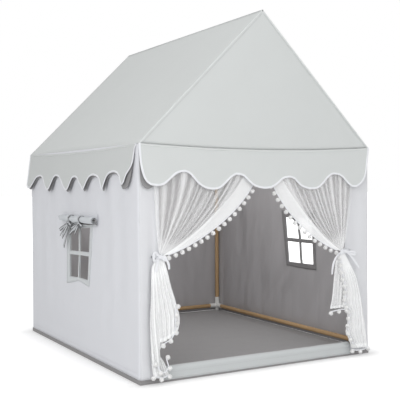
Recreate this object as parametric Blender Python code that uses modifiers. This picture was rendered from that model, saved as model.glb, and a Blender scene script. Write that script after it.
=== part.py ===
"""A kids play tent in the shape of a small house.

A frame of wooden poles stands in moulded corner sockets on a padded floor mat.
A sewn cover hangs on it: two roof slopes, two gables, a scalloped valance on each
side, three walls, two front panels and a door sill. Net curtains with a pom-pom trim
are tied back in the doorway, and each side wall has a window with a roll-up flap.

Metres, +Z up. The origin is the middle of the footprint on the floor, and the
doorway faces -Y.
"""

import math

import bmesh
import bpy
from mathutils import Matrix, Vector

# Driving dimensions of the tent
WIDTH = 1.05
DEPTH = 1.22
EAVE_HEIGHT = 0.853
RIDGE_HEIGHT = 1.371

# Clearances, cloths and how far a cutter runs past what it cuts
GAP = 0.0003
CUT_OVERRUN = 0.010
CLOTH = 0.002
NET = 0.002
TAPE = 0.0015
RIBBON = 0.001

# Poles and their moulded sockets
POLE_RADIUS = 0.010
SOCKET_CLEARANCE = 0.0007
SOCKET_WALL = 0.002
SOCKET_GRIP = 0.032
HUB_CORE = 0.014
SLANT_CORE = 0.032
HUB_SHARE = 0.95
HUB_OVERLAP = 0.0045
SOCKET_STEP = 0.0002
FOOT_RADIUS = 0.0112
POLE_SIDES = 16
SOCKET_SIDES = 12
SMOOTH_ANGLE = math.radians(65)

# Floor mat and base
MAT_THICKNESS = 0.016
MAT_CROWN = 0.006
MAT_BORDER = 0.060
MAT_CUTS = 8
BASE_HUB_HEIGHT = 0.042

# Door sill, a band folded over the front base rail
SILL_BOTTOM = 0.007
SILL_TOP = 0.0555
SILL_BACK = 0.022

# Front opening between the two front panels
PANEL_WIDTHS = {"left": 0.078, "right": 0.098}
PANEL_PULLS = {"left": 0.004, "right": 0.029}
PULL_START = 0.160
PANEL_FOLD = 0.004

# Cover
ROOF_SAG = 0.008
WALL_FOLD = 0.005
WALL_FOLD_PITCH = 0.152
FRONT_SEAM_SAG = 0.016

# Valance: lobes of one pitch, cut off at the corners
VALANCE_DROP = 0.163
VALANCE_NOTCH_DROP = 0.108
VALANCE_CORNER_DROP = 0.012
VALANCE_FLARE = 0.020
FRONT_LOBE_PITCH = 0.230
FRONT_LOBE_SHIFT = -0.010
FRONT_NOTCHES = 4
FRONT_CORNER_REACHES = (0.078, 0.045)
BACK_CORNER_REACH = 0.030
SIDE_CORNER_REACH = 0.125
SIDE_LOBE_PITCH = 0.216
SIDE_LOBE_SHIFT = -0.013
SIDE_NOTCHES = 5
LOBE_COLUMNS = 6
CORNER_COLUMNS = 4
CORNER_STEP_SHARES = (0, 0.10, 0.28, 0.58)
CORNER_CURVE_SHARE = 2.0
SIDE_CORNER_CURVE_SHARE = 1.4
VALANCE_ROWS = 3
LOBE_ROUND_SHARE = 1.8
FLARE_CURVE_SHARE = 1.5

# Windows: four panes, a taped border and a taped cross
WINDOW_BOTTOM = 0.325
PANE_AREA_WIDTH = 0.212
PANE_AREA_HEIGHT = 0.212
WINDOW_CENTRES = {"left": -0.019, "right": -0.135}
BORDER_TAPE = 0.026
UPRIGHT_TAPE = 0.012
CROSS_TAPE = 0.021
PANE_CORNER = 0.010
PANE_CORNER_ROUND_SHARE = 0.5

# Roll-up window flaps
FLAP_WIDTH = 0.385
FLAP_SHIFT = -0.028
FLAP_ROLL_RISE = 0.030
FLAP_SEAM_RISE = 0.033
ROLL_RADIUS = 0.0155
ROLL_PITCH = 0.0040
ROLL_HALF_TURNS = 5
FLAP_CLOTH = 0.0018
TIE_WIDTH = 0.008
TIE_ARC_SHARE = 0.66
TIE_TAIL_WIDTH = 0.007
TIE_PLACES = {"back": 0.064, "front": -0.053}
# The tails of each tie: how far each runs along the wall, and how far it drops
TIE_TAILS = {
    "back": ((0.110, 0.042), (0.082, 0.052), (0.022, 0.100)),
    "front": ((0.186, 0.108), (0.048, 0.046)),
}

# Curtains: a swag from the front seam to a knot, and a tail below it
KNOT_INSETS = {"left": 0.072, "right": 0.144}
KNOT_DROPS = {"left": 0.402, "right": 0.421}
KNOT_RADIUS = 0.0115
KNOT_CLEARANCE = 0.0010
SWAG_INSETS = {"left": 0.053, "right": 0.085}
SWAG_MEET = 0.004
SWAG_FOLDS = 5
SWAG_FOLD = 0.012
SWAG_ROWS = 10
SWAG_ACROSS_BEND_SHARE = 0.75
SWAG_DOWN_BEND_SHARE = 0.27
SWAG_LOWEST_ANGLE = math.radians(4)
TAIL_OUTER = {"left": 0.041, "right": 0.071}
TAIL_INNER = {"left": 0.071, "right": 0.078}
TAIL_NECK = 0.014
TAIL_LEAN = 0.013
TAIL_FOLDS = 4
TAIL_COLUMNS = 16
TAIL_FOLD = 0.006
TAIL_ROWS = 7
TAIL_FLOOR_GAP = 0.024
TAIL_SPREAD_SHARE = 0.55
# Where the hem of a tail lies: shares of its width from the outer edge, and of its knot's height
TAIL_HEM_SHARES = {
    "left": ((0.0, 0.00), (0.42, 0.00), (0.56, 0.22), (0.75, 0.295), (1.0, 0.38)),
    "right": ((0.0, 0.00), (0.42, 0.00), (0.62, 0.19), (0.72, 0.36), (1.0, 0.38)),
}

# Pom-pom trim
POM_RADIUS = 0.0095
POM_PITCH = 0.0285
POM_SINK = 0.0015
POM_SIDES = 6
POM_RINGS = 5
TRIM_RADIUS = 0.0015
SWAG_TRIM_TOP = 0.666
TRIM_END_MARGIN = 0.006

# Curtain ties
BOW_WIDTH = 0.006
BOW_LENGTHS = {"left": 0.029, "right": 0.060}
BOW_HEIGHTS = {"left": 0.022, "right": 0.022}
BOW_END_START = 0.003
BOW_END_DROPS = {"left": 0.045, "right": 0.075}
BOW_END_SPREADS = {"left": 0.045, "right": 0.063}
STRAP_WIDTH = 0.008
STRAP_REACH = {"left": 0.026, "right": 0.044}
BOW_OPEN_SHARE = 0.02

# Sizes worked out from the values above
HALF_WIDTH = WIDTH / 2
HALF_DEPTH = DEPTH / 2
SOCKET_BORE = POLE_RADIUS + SOCKET_CLEARANCE
SOCKET_RADIUS = SOCKET_BORE + SOCKET_WALL
FRAME_INSET = CLOTH + GAP + SOCKET_RADIUS
POST_X = HALF_WIDTH - FRAME_INSET
POST_Y = HALF_DEPTH - FRAME_INSET
ROOF_ANGLE = math.atan2(RIDGE_HEIGHT - EAVE_HEIGHT, HALF_WIDTH)
EAVE_HUB_HEIGHT = EAVE_HEIGHT + FRAME_INSET * (
    math.tan(ROOF_ANGLE) - 1 / math.cos(ROOF_ANGLE)
)
RIDGE_HUB_HEIGHT = RIDGE_HEIGHT - FRAME_INSET / math.cos(ROOF_ANGLE)
HEM_HEIGHT = MAT_THICKNESS + GAP
WALL_TOP = EAVE_HEIGHT - CLOTH - GAP
CURTAIN_LAYER = HALF_DEPTH + GAP
FRONT_VALANCE_LAYER = CURTAIN_LAYER + NET + GAP
OUTER_LAYER = {"x": HALF_WIDTH + GAP, "y": HALF_DEPTH + GAP}
FLAP_LAYER = OUTER_LAYER["x"] + TAPE + GAP
FLAP_ROLL_HEIGHT = WINDOW_BOTTOM + PANE_AREA_HEIGHT + FLAP_ROLL_RISE
FLAP_SEAM_HEIGHT = FLAP_ROLL_HEIGHT + FLAP_SEAM_RISE
KNOT_DEPTH = CURTAIN_LAYER + KNOT_RADIUS
SIDES = {"left": -1, "right": 1}
ENDS = {"front": -1, "back": 1}
PANEL_EDGES = {side: HALF_WIDTH - PANEL_WIDTHS[side] for side in SIDES}
SWAG_OUTER = {side: HALF_WIDTH - SWAG_INSETS[side] for side in SIDES}
KNOTS = {
    side: (HALF_WIDTH - KNOT_INSETS[side], EAVE_HEIGHT - KNOT_DROPS[side]) for side in SIDES
}

# Finishes: colour, roughness, metallic
FINISHES = {
    "cover_white": ((0.80, 0.81, 0.84), 0.85, 0.0),
    "cover_grey": ((0.62, 0.65, 0.65), 0.85, 0.0),
    "net_white": ((0.88, 0.89, 0.89), 0.90, 0.0),
    "pom_white": ((0.93, 0.93, 0.92), 0.95, 0.0),
    "tape_grey": ((0.60, 0.64, 0.67), 0.80, 0.0),
    "pine": ((0.62, 0.42, 0.22), 0.55, 0.0),
    "moulded_plastic": ((0.80, 0.80, 0.78), 0.45, 0.0),
    "mat_grey": ((0.26, 0.25, 0.25), 0.90, 0.0),
}


def clear_scene():
    """Removes the objects that a new file opens with."""
    for item in list(bpy.data.objects):
        bpy.data.objects.remove(item)


def new_collection(name):
    """A collection linked to the scene."""
    collection = bpy.data.collections.new(name)
    bpy.context.scene.collection.children.link(collection)
    return collection


def make_finishes():
    """One Principled material for each finish."""
    made = {}
    for name, (colour, roughness, metallic) in FINISHES.items():
        material = bpy.data.materials.new(name)
        material.use_nodes = True
        shader = material.node_tree.nodes["Principled BSDF"]
        shader.inputs["Base Color"].default_value = (*colour, 1)
        shader.inputs["Roughness"].default_value = roughness
        shader.inputs["Metallic"].default_value = metallic
        made[name] = material
    return made


def add_object(name, data, finish):
    """Puts a mesh or curve in the tent's collection under its node's name."""
    made = bpy.data.objects.new(name, data)
    data.materials.append(MATERIALS[finish])
    PARTS.objects.link(made)
    return made


def add_cutter(name, mesh):
    """Puts a mesh that cuts or joins others in the cutters' collection."""
    made = bpy.data.objects.new(name, mesh)
    made.hide_render = True
    made.display_type = "WIRE"
    CUTTERS.objects.link(made)
    return made


def mesh_of(name, shape):
    """Turns a bmesh into a mesh, smooth but for its sharp edges, and frees it."""
    mesh = bpy.data.meshes.new(name)
    shape.to_mesh(mesh)
    shape.free()
    mesh.shade_smooth()
    mesh.set_sharp_from_angle(angle=SMOOTH_ANGLE)
    return mesh


def place_on_axis(made, axis_point):
    """Moves an object's origin to a point of its joint's axis and leaves its shape in place."""
    point = Vector(axis_point)
    made.data.transform(Matrix.Translation(-point))
    made.location = point


def boolean(target, operation, tool):
    """Adds a Boolean modifier that reads one cutter."""
    modifier = target.modifiers.new(operation.lower(), "BOOLEAN")
    modifier.operation = operation
    modifier.solver = "EXACT"
    modifier.object = tool
    return modifier


def along(start, end):
    """The matrix that lays a Z cylinder between two points, centred between them."""
    start = Vector(start)
    end = Vector(end)
    turn = (end - start).to_track_quat("Z", "Y").to_matrix().to_4x4()
    return Matrix.Translation((start + end) / 2) @ turn


def add_cylinder(shape, start, end, radius, sides):
    """A closed cylinder between two points."""
    start = Vector(start)
    end = Vector(end)
    bmesh.ops.create_cone(
        shape,
        cap_ends=True,
        segments=sides,
        radius1=radius,
        radius2=radius,
        depth=(end - start).length,
        matrix=along(start, end),
    )


def pole(name, start, end):
    """A wooden dowel between two points."""
    shape = bmesh.new()
    add_cylinder(shape, start, end, POLE_RADIUS, POLE_SIDES)
    return add_object(name, mesh_of(name, shape), "pine")


def connector(name, centre, arms, foot=0.0):
    """A moulded connector: a round hub with a socket along each arm.

    An arm is a direction and the distance from the hub's centre to the pole's end. Each
    socket is a little slimmer than the one before, so that their walls cross cleanly.
    A foot is a solid stub of that length below the hub.
    """
    centre = Vector(centre)
    hub = bmesh.new()
    bmesh.ops.create_uvsphere(
        hub,
        u_segments=SOCKET_SIDES,
        v_segments=SOCKET_SIDES // 2,
        radius=SOCKET_RADIUS * HUB_SHARE,
        matrix=Matrix.Translation(centre),
    )
    made = add_object(name, mesh_of(name, hub), "moulded_plastic")
    bores = bmesh.new()
    tubes = [(Vector(way).normalized(), core) for way, core in arms]
    for index, (way, core) in enumerate(tubes):
        reach = core + SOCKET_GRIP
        tube = bmesh.new()
        back = centre - way * HUB_OVERLAP
        radius = SOCKET_RADIUS - SOCKET_STEP * index
        add_cylinder(tube, back, centre + way * reach, radius, SOCKET_SIDES)
        tube_name = f"{name}_socket_{index}"
        boolean(made, "UNION", add_cutter(tube_name, mesh_of(tube_name, tube)))
        mouth = centre + way * (reach + CUT_OVERRUN)
        add_cylinder(bores, centre + way * (core - GAP), mouth, SOCKET_BORE, SOCKET_SIDES)
    if foot:
        stub = bmesh.new()
        floor = centre - Vector((0, 0, foot))
        add_cylinder(stub, centre, floor, FOOT_RADIUS, SOCKET_SIDES)
        stub_name = f"{name}_foot"
        boolean(made, "UNION", add_cutter(stub_name, mesh_of(stub_name, stub)))
    bore_name = f"{name}_bores"
    boolean(made, "DIFFERENCE", add_cutter(bore_name, mesh_of(bore_name, bores)))
    return made


def sheet(name, finish, columns, rows, place, thickness):
    """A cloth: a grid laid out by place(u, v), its middle surface, and thickened evenly."""
    made = add_object(name, grid_mesh(name, columns, rows, place), finish)
    thicken(made, thickness)
    return made


def grid_mesh(name, columns, rows, place):
    """An open grid whose points come from place(u, v), with u and v from 0 to 1."""
    shape = bmesh.new()
    bmesh.ops.create_grid(shape, x_segments=columns, y_segments=rows, size=1)
    for vertex in shape.verts:
        vertex.co = place((vertex.co.x + 1) / 2, (vertex.co.y + 1) / 2)
    return mesh_of(name, shape)


def thicken(made, thickness):
    """Gives an open surface its thickness, half to each side."""
    modifier = made.modifiers.new("thickness", "SOLIDIFY")
    modifier.thickness = thickness
    modifier.offset = 0
    modifier.use_even_offset = True
    return modifier


def mix(start, end, share):
    """The value or vector at a share of the way from start to end."""
    return start + (end - start) * share


def from_shares(table, share):
    """Reads a table of (place share, value share) pairs, with straight lines between them."""
    for (low, low_value), (high, high_value) in zip(table, table[1:]):
        if share <= high:
            return mix(low_value, high_value, (share - low) / (high - low))
    return table[-1][1]


def bump(share):
    """A smooth rise and fall from 0 over 1 to 0, flat at both ends."""
    return math.sin(math.pi * min(max(share, 0), 1)) ** 2


# Frame


def make_posts_and_rails():
    """Four posts, four base rails, four eave rails, four rafters and the ridge pole."""
    foot_end = BASE_HUB_HEIGHT + HUB_CORE
    head_end = EAVE_HUB_HEIGHT - HUB_CORE
    for end, depth_sign in ENDS.items():
        y = POST_Y * depth_sign
        base_x = POST_X - HUB_CORE
        eave_x = POST_X - SLANT_CORE
        pole(f"base_rail_{end}", (-base_x, y, BASE_HUB_HEIGHT), (base_x, y, BASE_HUB_HEIGHT))
        pole(f"eave_rail_{end}", (-eave_x, y, EAVE_HUB_HEIGHT), (eave_x, y, EAVE_HUB_HEIGHT))
        for side, width_sign in SIDES.items():
            x = POST_X * width_sign
            pole(f"post_{end}_{side}", (x, y, foot_end), (x, y, head_end))
            eave_hub = Vector((x, y, EAVE_HUB_HEIGHT))
            ridge_hub = Vector((0, y, RIDGE_HUB_HEIGHT))
            slope = (ridge_hub - eave_hub).normalized()
            low = eave_hub + slope * SLANT_CORE
            high = ridge_hub - slope * HUB_CORE
            pole(f"rafter_{end}_{side}", low, high)
    for side, width_sign in SIDES.items():
        x = POST_X * width_sign
        y = POST_Y - HUB_CORE
        pole(f"base_rail_{side}", (x, -y, BASE_HUB_HEIGHT), (x, y, BASE_HUB_HEIGHT))
        pole(f"eave_rail_{side}", (x, -y, EAVE_HUB_HEIGHT), (x, y, EAVE_HUB_HEIGHT))
    ridge_y = POST_Y - HUB_CORE
    pole("ridge_pole", (0, -ridge_y, RIDGE_HUB_HEIGHT), (0, ridge_y, RIDGE_HUB_HEIGHT))


def make_connectors():
    """Base corners on feet, eave corners with a slanted rafter socket, and two ridge joints."""
    foot = BASE_HUB_HEIGHT - HEM_HEIGHT
    for end, depth_sign in ENDS.items():
        y = POST_Y * depth_sign
        inward_y = (0, -depth_sign, 0)
        for side, width_sign in SIDES.items():
            x = POST_X * width_sign
            inward_x = (-width_sign, 0, 0)
            rafter = (-width_sign * math.cos(ROOF_ANGLE), 0, math.sin(ROOF_ANGLE))
            connector(
                f"base_corner_{end}_{side}",
                (x, y, BASE_HUB_HEIGHT),
                [((0, 0, 1), HUB_CORE), (inward_x, HUB_CORE), (inward_y, HUB_CORE)],
                foot,
            )
            connector(
                f"eave_corner_{end}_{side}",
                (x, y, EAVE_HUB_HEIGHT),
                [
                    ((0, 0, -1), HUB_CORE),
                    (inward_y, HUB_CORE),
                    (inward_x, SLANT_CORE),
                    (rafter, SLANT_CORE),
                ],
            )
        down_left = (-math.cos(ROOF_ANGLE), 0, -math.sin(ROOF_ANGLE))
        down_right = (math.cos(ROOF_ANGLE), 0, -math.sin(ROOF_ANGLE))
        connector(
            f"ridge_joint_{end}",
            (0, y, RIDGE_HUB_HEIGHT),
            [(down_left, HUB_CORE), (down_right, HUB_CORE), (inward_y, HUB_CORE)],
        )


# Cover


def front_seam_height(x):
    """The height of the seam over the doorway, which sags between the posts."""
    return EAVE_HEIGHT - FRONT_SEAM_SAG * (1 - (x / HALF_WIDTH) ** 2)


def make_roof():
    """Two slopes from the ridge to the eaves, a little slack between the poles."""
    edge = Vector((HALF_WIDTH, 0, EAVE_HEIGHT))
    ridge = Vector((0, 0, RIDGE_HEIGHT))
    inward = Vector((-math.sin(ROOF_ANGLE), 0, -math.cos(ROOF_ANGLE)))
    up_slope = (ridge - edge).normalized()
    low = edge + inward * (CLOTH / 2)
    back_off = CLOTH * math.tan(ROOF_ANGLE) + GAP / math.cos(ROOF_ANGLE)
    high = ridge + inward * (CLOTH / 2) - up_slope * back_off
    for side, width_sign in SIDES.items():

        def place(u, v, width_sign=width_sign):
            sag = ROOF_SAG * bump(u) * bump(v)
            point = mix(low, high, v) + inward * sag
            return Vector((point.x * width_sign, mix(-HALF_DEPTH, HALF_DEPTH, u), point.z))

        sheet(f"roof_slope_{side}", "cover_grey", 8, 6, place, CLOTH)


def make_gables():
    """A triangle of cloth at each end, under the roof slopes."""
    tip = RIDGE_HEIGHT - (CLOTH + GAP) / math.cos(ROOF_ANGLE)
    corner = (tip - EAVE_HEIGHT) / math.tan(ROOF_ANGLE)
    columns = 8
    for end, depth_sign in ENDS.items():
        curve = bpy.data.curves.new(f"gable_{end}", "CURVE")
        curve.dimensions = "2D"
        curve.fill_mode = "BOTH"
        curve.extrude = CLOTH / 2
        outline = curve.splines.new("POLY")
        outline.points.add(columns + 1)
        for index in range(columns + 1):
            x = mix(-corner, corner, index / columns)
            height = front_seam_height(x) if end == "front" else EAVE_HEIGHT
            outline.points[index].co = (x, height, 0, 1)
        outline.points[columns + 1].co = (0, tip, 0, 1)
        outline.use_cyclic_u = True
        made = add_object(f"gable_{end}", curve, "cover_grey")
        made.rotation_euler = (math.pi / 2, 0, 0)
        made.location = (0, (HALF_DEPTH - CLOTH / 2) * depth_sign, 0)


def wall_folds(y, height_share, flat_centre=None, flat_half=0.0):
    """How far a wall hangs out in soft upright folds, with none beside its window."""
    across = (1 - math.cos(2 * math.pi * y / WALL_FOLD_PITCH)) / 2
    edge = min((HALF_DEPTH - abs(y)) / WALL_FOLD_PITCH, 1)
    calm = 1.0
    if flat_centre is not None:
        calm = min(max((abs(y - flat_centre) - flat_half) / WALL_FOLD_PITCH, 0), 1)
    return WALL_FOLD * across * edge * calm * bump(height_share)


def make_side_walls():
    """The two side walls, each with the opening of its window."""
    half_run = HALF_DEPTH - CLOTH - GAP
    middle = HALF_WIDTH - CLOTH / 2
    for side, width_sign in SIDES.items():
        centre = WINDOW_CENTRES[side]
        flat_half = FLAP_WIDTH / 2 - FLAP_SHIFT

        def place(u, v, width_sign=width_sign, centre=centre, flat_half=flat_half):
            y = mix(-half_run, half_run, u)
            out = wall_folds(y, v, centre, flat_half)
            return Vector(((middle + out) * width_sign, y, mix(HEM_HEIGHT, WALL_TOP, v)))

        wall = sheet(f"wall_{side}", "cover_white", 24, 4, place, CLOTH)
        cutter = bmesh.new()
        bmesh.ops.create_cube(cutter, size=1)
        bmesh.ops.scale(
            cutter,
            verts=cutter.verts,
            vec=(CLOTH + 2 * CUT_OVERRUN, PANE_AREA_WIDTH, PANE_AREA_HEIGHT),
        )
        across = [e for e in cutter.edges if abs(e.verts[0].co.x - e.verts[1].co.x) > GAP]
        bmesh.ops.bevel(
            cutter,
            geom=across,
            offset=PANE_CORNER,
            segments=2,
            profile=PANE_CORNER_ROUND_SHARE,
            affect="EDGES",
        )
        middle_height = WINDOW_BOTTOM + PANE_AREA_HEIGHT / 2
        moved = Matrix.Translation((middle * width_sign, centre, middle_height))
        cutter.transform(moved)
        tool = add_cutter(f"window_cut_{side}", mesh_of(f"window_cut_{side}", cutter))
        boolean(wall, "DIFFERENCE", tool)


def make_back_wall():
    """The back wall, which hangs in soft folds."""
    middle = HALF_DEPTH - CLOTH / 2

    def place(u, v):
        x = mix(-HALF_WIDTH, HALF_WIDTH, u)
        edge = min((HALF_WIDTH - abs(x)) / WALL_FOLD_PITCH, 1)
        across = (1 - math.cos(2 * math.pi * x / WALL_FOLD_PITCH)) / 2
        out = WALL_FOLD * across * edge * bump(v)
        return Vector((x, middle + out, mix(HEM_HEIGHT, WALL_TOP, v)))

    sheet("wall_back", "cover_white", 20, 4, place, CLOTH)


def panel_edge(side, height):
    """How far from the middle a front panel's free edge lies at a height."""
    rise = (height - PULL_START) / (KNOTS[side][1] - PULL_START)
    return PANEL_EDGES[side] - PANEL_PULLS[side] * bump(rise / 2)


def make_front_panels():
    """The two strips beside the doorway, pulled in a little at the curtain ties."""
    middle = HALF_DEPTH - CLOTH / 2
    for side, width_sign in SIDES.items():

        def place(u, v, side=side, width_sign=width_sign):
            top = min(front_seam_height(mix(HALF_WIDTH, PANEL_EDGES[side], u)) - GAP, WALL_TOP)
            height = mix(HEM_HEIGHT, top, v)
            inner = panel_edge(side, height)
            x = mix(HALF_WIDTH, inner, u)
            free = (POST_X - SOCKET_RADIUS - x) / (POST_X - SOCKET_RADIUS - inner)
            fold = PANEL_FOLD * bump(free) * bump(v)
            return Vector((x * width_sign, fold - middle, height))

        sheet(f"front_panel_{side}", "cover_white", 8, 6, place, CLOTH)


def make_sill():
    """The band across the doorway, folded over the front base rail from outside."""
    front = HALF_DEPTH + GAP + CLOTH / 2
    across = front - POST_Y
    rise = SILL_TOP - CLOTH / 2 - BASE_HUB_HEIGHT
    left = GAP - PANEL_EDGES["left"]
    right = PANEL_EDGES["right"] - GAP
    upright_share = 0.25
    fold_share = 0.80

    def place(u, v):
        x = mix(left, right, u)
        if v < upright_share:
            return Vector((x, -front, mix(SILL_BOTTOM, BASE_HUB_HEIGHT, v / upright_share)))
        if v < fold_share:
            turn = math.pi * (v - upright_share) / (fold_share - upright_share)
            y = -POST_Y - across * math.cos(turn)
            return Vector((x, y, BASE_HUB_HEIGHT + rise * math.sin(turn)))
        fall = (v - fold_share) / (1 - fold_share)
        return Vector((x, across - POST_Y, mix(BASE_HUB_HEIGHT, SILL_BACK, fall)))

    sheet("door_sill", "cover_grey", 1, 20, place, CLOTH)


# Valance


def lobe_drop(place, half_run, lobes):
    """How far the scalloped edge hangs below the seam at a place along the side."""
    pitch, shift, notches, reaches, curves = lobes
    first = shift - pitch * (notches - 1) / 2
    last = shift + pitch * (notches - 1) / 2
    if first <= place <= last:
        share = ((place - first) / pitch) % 1
        return mix(VALANCE_NOTCH_DROP, VALANCE_DROP, lobe_round(share))
    at_start = place < first
    distance = half_run + place if at_start else half_run - place
    notch = half_run + first if at_start else half_run - last
    reach, curve = (reaches[0], curves[0]) if at_start else (reaches[1], curves[1])
    if distance < reach:
        turn = 1 - (1 - distance / reach) ** curve
        return mix(VALANCE_CORNER_DROP, VALANCE_DROP, turn)
    share = min((notch - distance) / min(pitch / 2, notch - reach), 1)
    return mix(VALANCE_NOTCH_DROP, VALANCE_DROP, lobe_round(share / 2))


def lobe_round(share):
    """The round edge of a lobe: 0 at its ends and 1 in its middle."""
    return max(math.sin(math.pi * share), 0) ** LOBE_ROUND_SHARE


def lobe_places(half_run, lobes):
    """The places of a valance's columns: close together at the corners, even elsewhere."""
    pitch, shift, notches, reaches, curves = lobes
    inner = [shift + pitch * (index - (notches - 1) / 2) for index in range(notches)]
    start, end = reaches[0] - half_run, half_run - reaches[1]
    places = [reaches[0] * share - half_run for share in CORNER_STEP_SHARES]
    places += even_places(start, inner[0], CORNER_COLUMNS)
    for low, high in zip(inner, inner[1:]):
        places += even_places(low, high, LOBE_COLUMNS)
    places += even_places(inner[-1], end, CORNER_COLUMNS)
    return places + [end] + [half_run - reaches[1] * share for share in CORNER_STEP_SHARES[::-1]]


def even_places(low, high, count):
    """Places in even steps from low up to, and not at, high."""
    return [mix(low, high, step / count) for step in range(count)]


def valance(name, half_run, layer, lobes, sag, point):
    """One side's valance. point(along, out, height) puts it on its side of the tent."""
    places = lobe_places(half_run, lobes)
    columns = len(places) - 1

    def place(u, v):
        spot = places[round(u * columns)]
        top = EAVE_HEIGHT - sag * (1 - (spot / half_run) ** 2)
        drop = lobe_drop(spot, half_run, lobes)
        bottom = EAVE_HEIGHT - drop
        out = layer + CLOTH / 2 + VALANCE_FLARE * (drop / VALANCE_DROP) * v**FLARE_CURVE_SHARE
        return point(spot, out, mix(top, bottom, v))

    made = sheet(name, "cover_grey", columns, VALANCE_ROWS, place, CLOTH)
    place_on_axis(made, point(0, layer + CLOTH / 2, EAVE_HEIGHT))
    return made


def make_valances():
    """The four valances, each hanging from the seam under its roof edge."""
    curves = (CORNER_CURVE_SHARE, CORNER_CURVE_SHARE)
    front = (FRONT_LOBE_PITCH, FRONT_LOBE_SHIFT, FRONT_NOTCHES, FRONT_CORNER_REACHES, curves)
    back_reaches = (BACK_CORNER_REACH, BACK_CORNER_REACH)
    back = (FRONT_LOBE_PITCH, FRONT_LOBE_SHIFT, FRONT_NOTCHES, back_reaches, curves)
    side_reaches = (SIDE_CORNER_REACH, BACK_CORNER_REACH)
    side_curves = (SIDE_CORNER_CURVE_SHARE, CORNER_CURVE_SHARE)
    side_lobes = (SIDE_LOBE_PITCH, SIDE_LOBE_SHIFT, SIDE_NOTCHES, side_reaches, side_curves)
    valance(
        "valance_front",
        HALF_WIDTH,
        FRONT_VALANCE_LAYER,
        front,
        FRONT_SEAM_SAG,
        lambda spot, out, height: Vector((spot, -out, height)),
    )
    valance(
        "valance_back",
        HALF_WIDTH,
        OUTER_LAYER["y"],
        back,
        0,
        lambda spot, out, height: Vector((spot, out, height)),
    )
    for side, width_sign in SIDES.items():
        valance(
            f"valance_{side}",
            HALF_DEPTH,
            OUTER_LAYER["x"],
            side_lobes,
            0,
            lambda spot, out, height, sign=width_sign: Vector((out * sign, spot, height)),
        )


# Windows


def make_window_frames():
    """The tape round each window and the taped cross in it, as one flat frame."""
    for side, width_sign in SIDES.items():
        name = f"window_frame_{side}"
        frame = bmesh.new()
        bmesh.ops.create_cube(frame, size=1)
        full_width = PANE_AREA_WIDTH + 2 * BORDER_TAPE
        full_height = PANE_AREA_HEIGHT + 2 * BORDER_TAPE
        bmesh.ops.scale(frame, verts=frame.verts, vec=(TAPE, full_width, full_height))
        made = add_object(name, mesh_of(name, frame), "tape_grey")
        made.location = (
            (OUTER_LAYER["x"] + TAPE / 2) * width_sign,
            WINDOW_CENTRES[side],
            WINDOW_BOTTOM + PANE_AREA_HEIGHT / 2,
        )
        panes = bmesh.new()
        pane_width = (PANE_AREA_WIDTH - UPRIGHT_TAPE) / 2
        pane_height = (PANE_AREA_HEIGHT - CROSS_TAPE) / 2
        for across in (-1, 1):
            for up in (-1, 1):
                centre = (
                    0,
                    across * (UPRIGHT_TAPE + pane_width) / 2,
                    up * (CROSS_TAPE + pane_height) / 2,
                )
                size = Matrix.Diagonal((TAPE + 2 * CUT_OVERRUN, pane_width, pane_height, 1))
                bmesh.ops.create_cube(panes, size=1, matrix=Matrix.Translation(centre) @ size)
        tool = add_cutter(f"{name}_panes", mesh_of(f"{name}_panes", panes))
        tool.location = made.location
        boolean(made, "DIFFERENCE", tool)


def flap_span(side):
    """The middle of a window's flap along the wall."""
    return WINDOW_CENTRES[side] + FLAP_SHIFT


def make_window_flaps():
    """Each flap: its cloth rolled up in a spiral, and the short run from its seam to the roll."""
    for side, width_sign in SIDES.items():
        middle = flap_span(side)
        centre_x = FLAP_LAYER + GAP + RIBBON + ROLL_RADIUS

        def spiral(u, v, width_sign=width_sign, middle=middle, centre_x=centre_x):
            turn = math.pi * ROLL_HALF_TURNS * u
            radius = ROLL_RADIUS - FLAP_CLOTH / 2 - ROLL_PITCH * ROLL_HALF_TURNS * u / 2
            x = centre_x - radius * math.cos(turn)
            z = FLAP_ROLL_HEIGHT - radius * math.sin(turn)
            return Vector((x * width_sign, middle + FLAP_WIDTH * (v - 1 / 2), z))

        roll = sheet(f"flap_roll_{side}", "cover_white", 34, 1, spiral, FLAP_CLOTH)
        place_on_axis(roll, (centre_x * width_sign, middle, FLAP_ROLL_HEIGHT))
        top_x = OUTER_LAYER["x"] + FLAP_CLOTH / 2
        bottom_x = centre_x - ROLL_RADIUS + FLAP_CLOTH / 2

        def run(u, v, width_sign=width_sign, middle=middle, top_x=top_x, bottom_x=bottom_x):
            x = mix(bottom_x, top_x, v) * width_sign
            z = mix(FLAP_ROLL_HEIGHT + GAP, FLAP_SEAM_HEIGHT, v)
            return Vector((x, middle + FLAP_WIDTH * (u - 1 / 2), z))

        sheet(f"flap_sheet_{side}", "cover_white", 1, 1, run, FLAP_CLOTH)
        make_flap_ties(side, width_sign, middle, centre_x)


def tie_radius(turn):
    """The radius of a tie's ribbon, which lies on the outer turn of the spiral."""
    shrunk = ROLL_PITCH * (turn + math.pi) / (2 * math.pi)
    return ROLL_RADIUS - shrunk + GAP + RIBBON / 2


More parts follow.
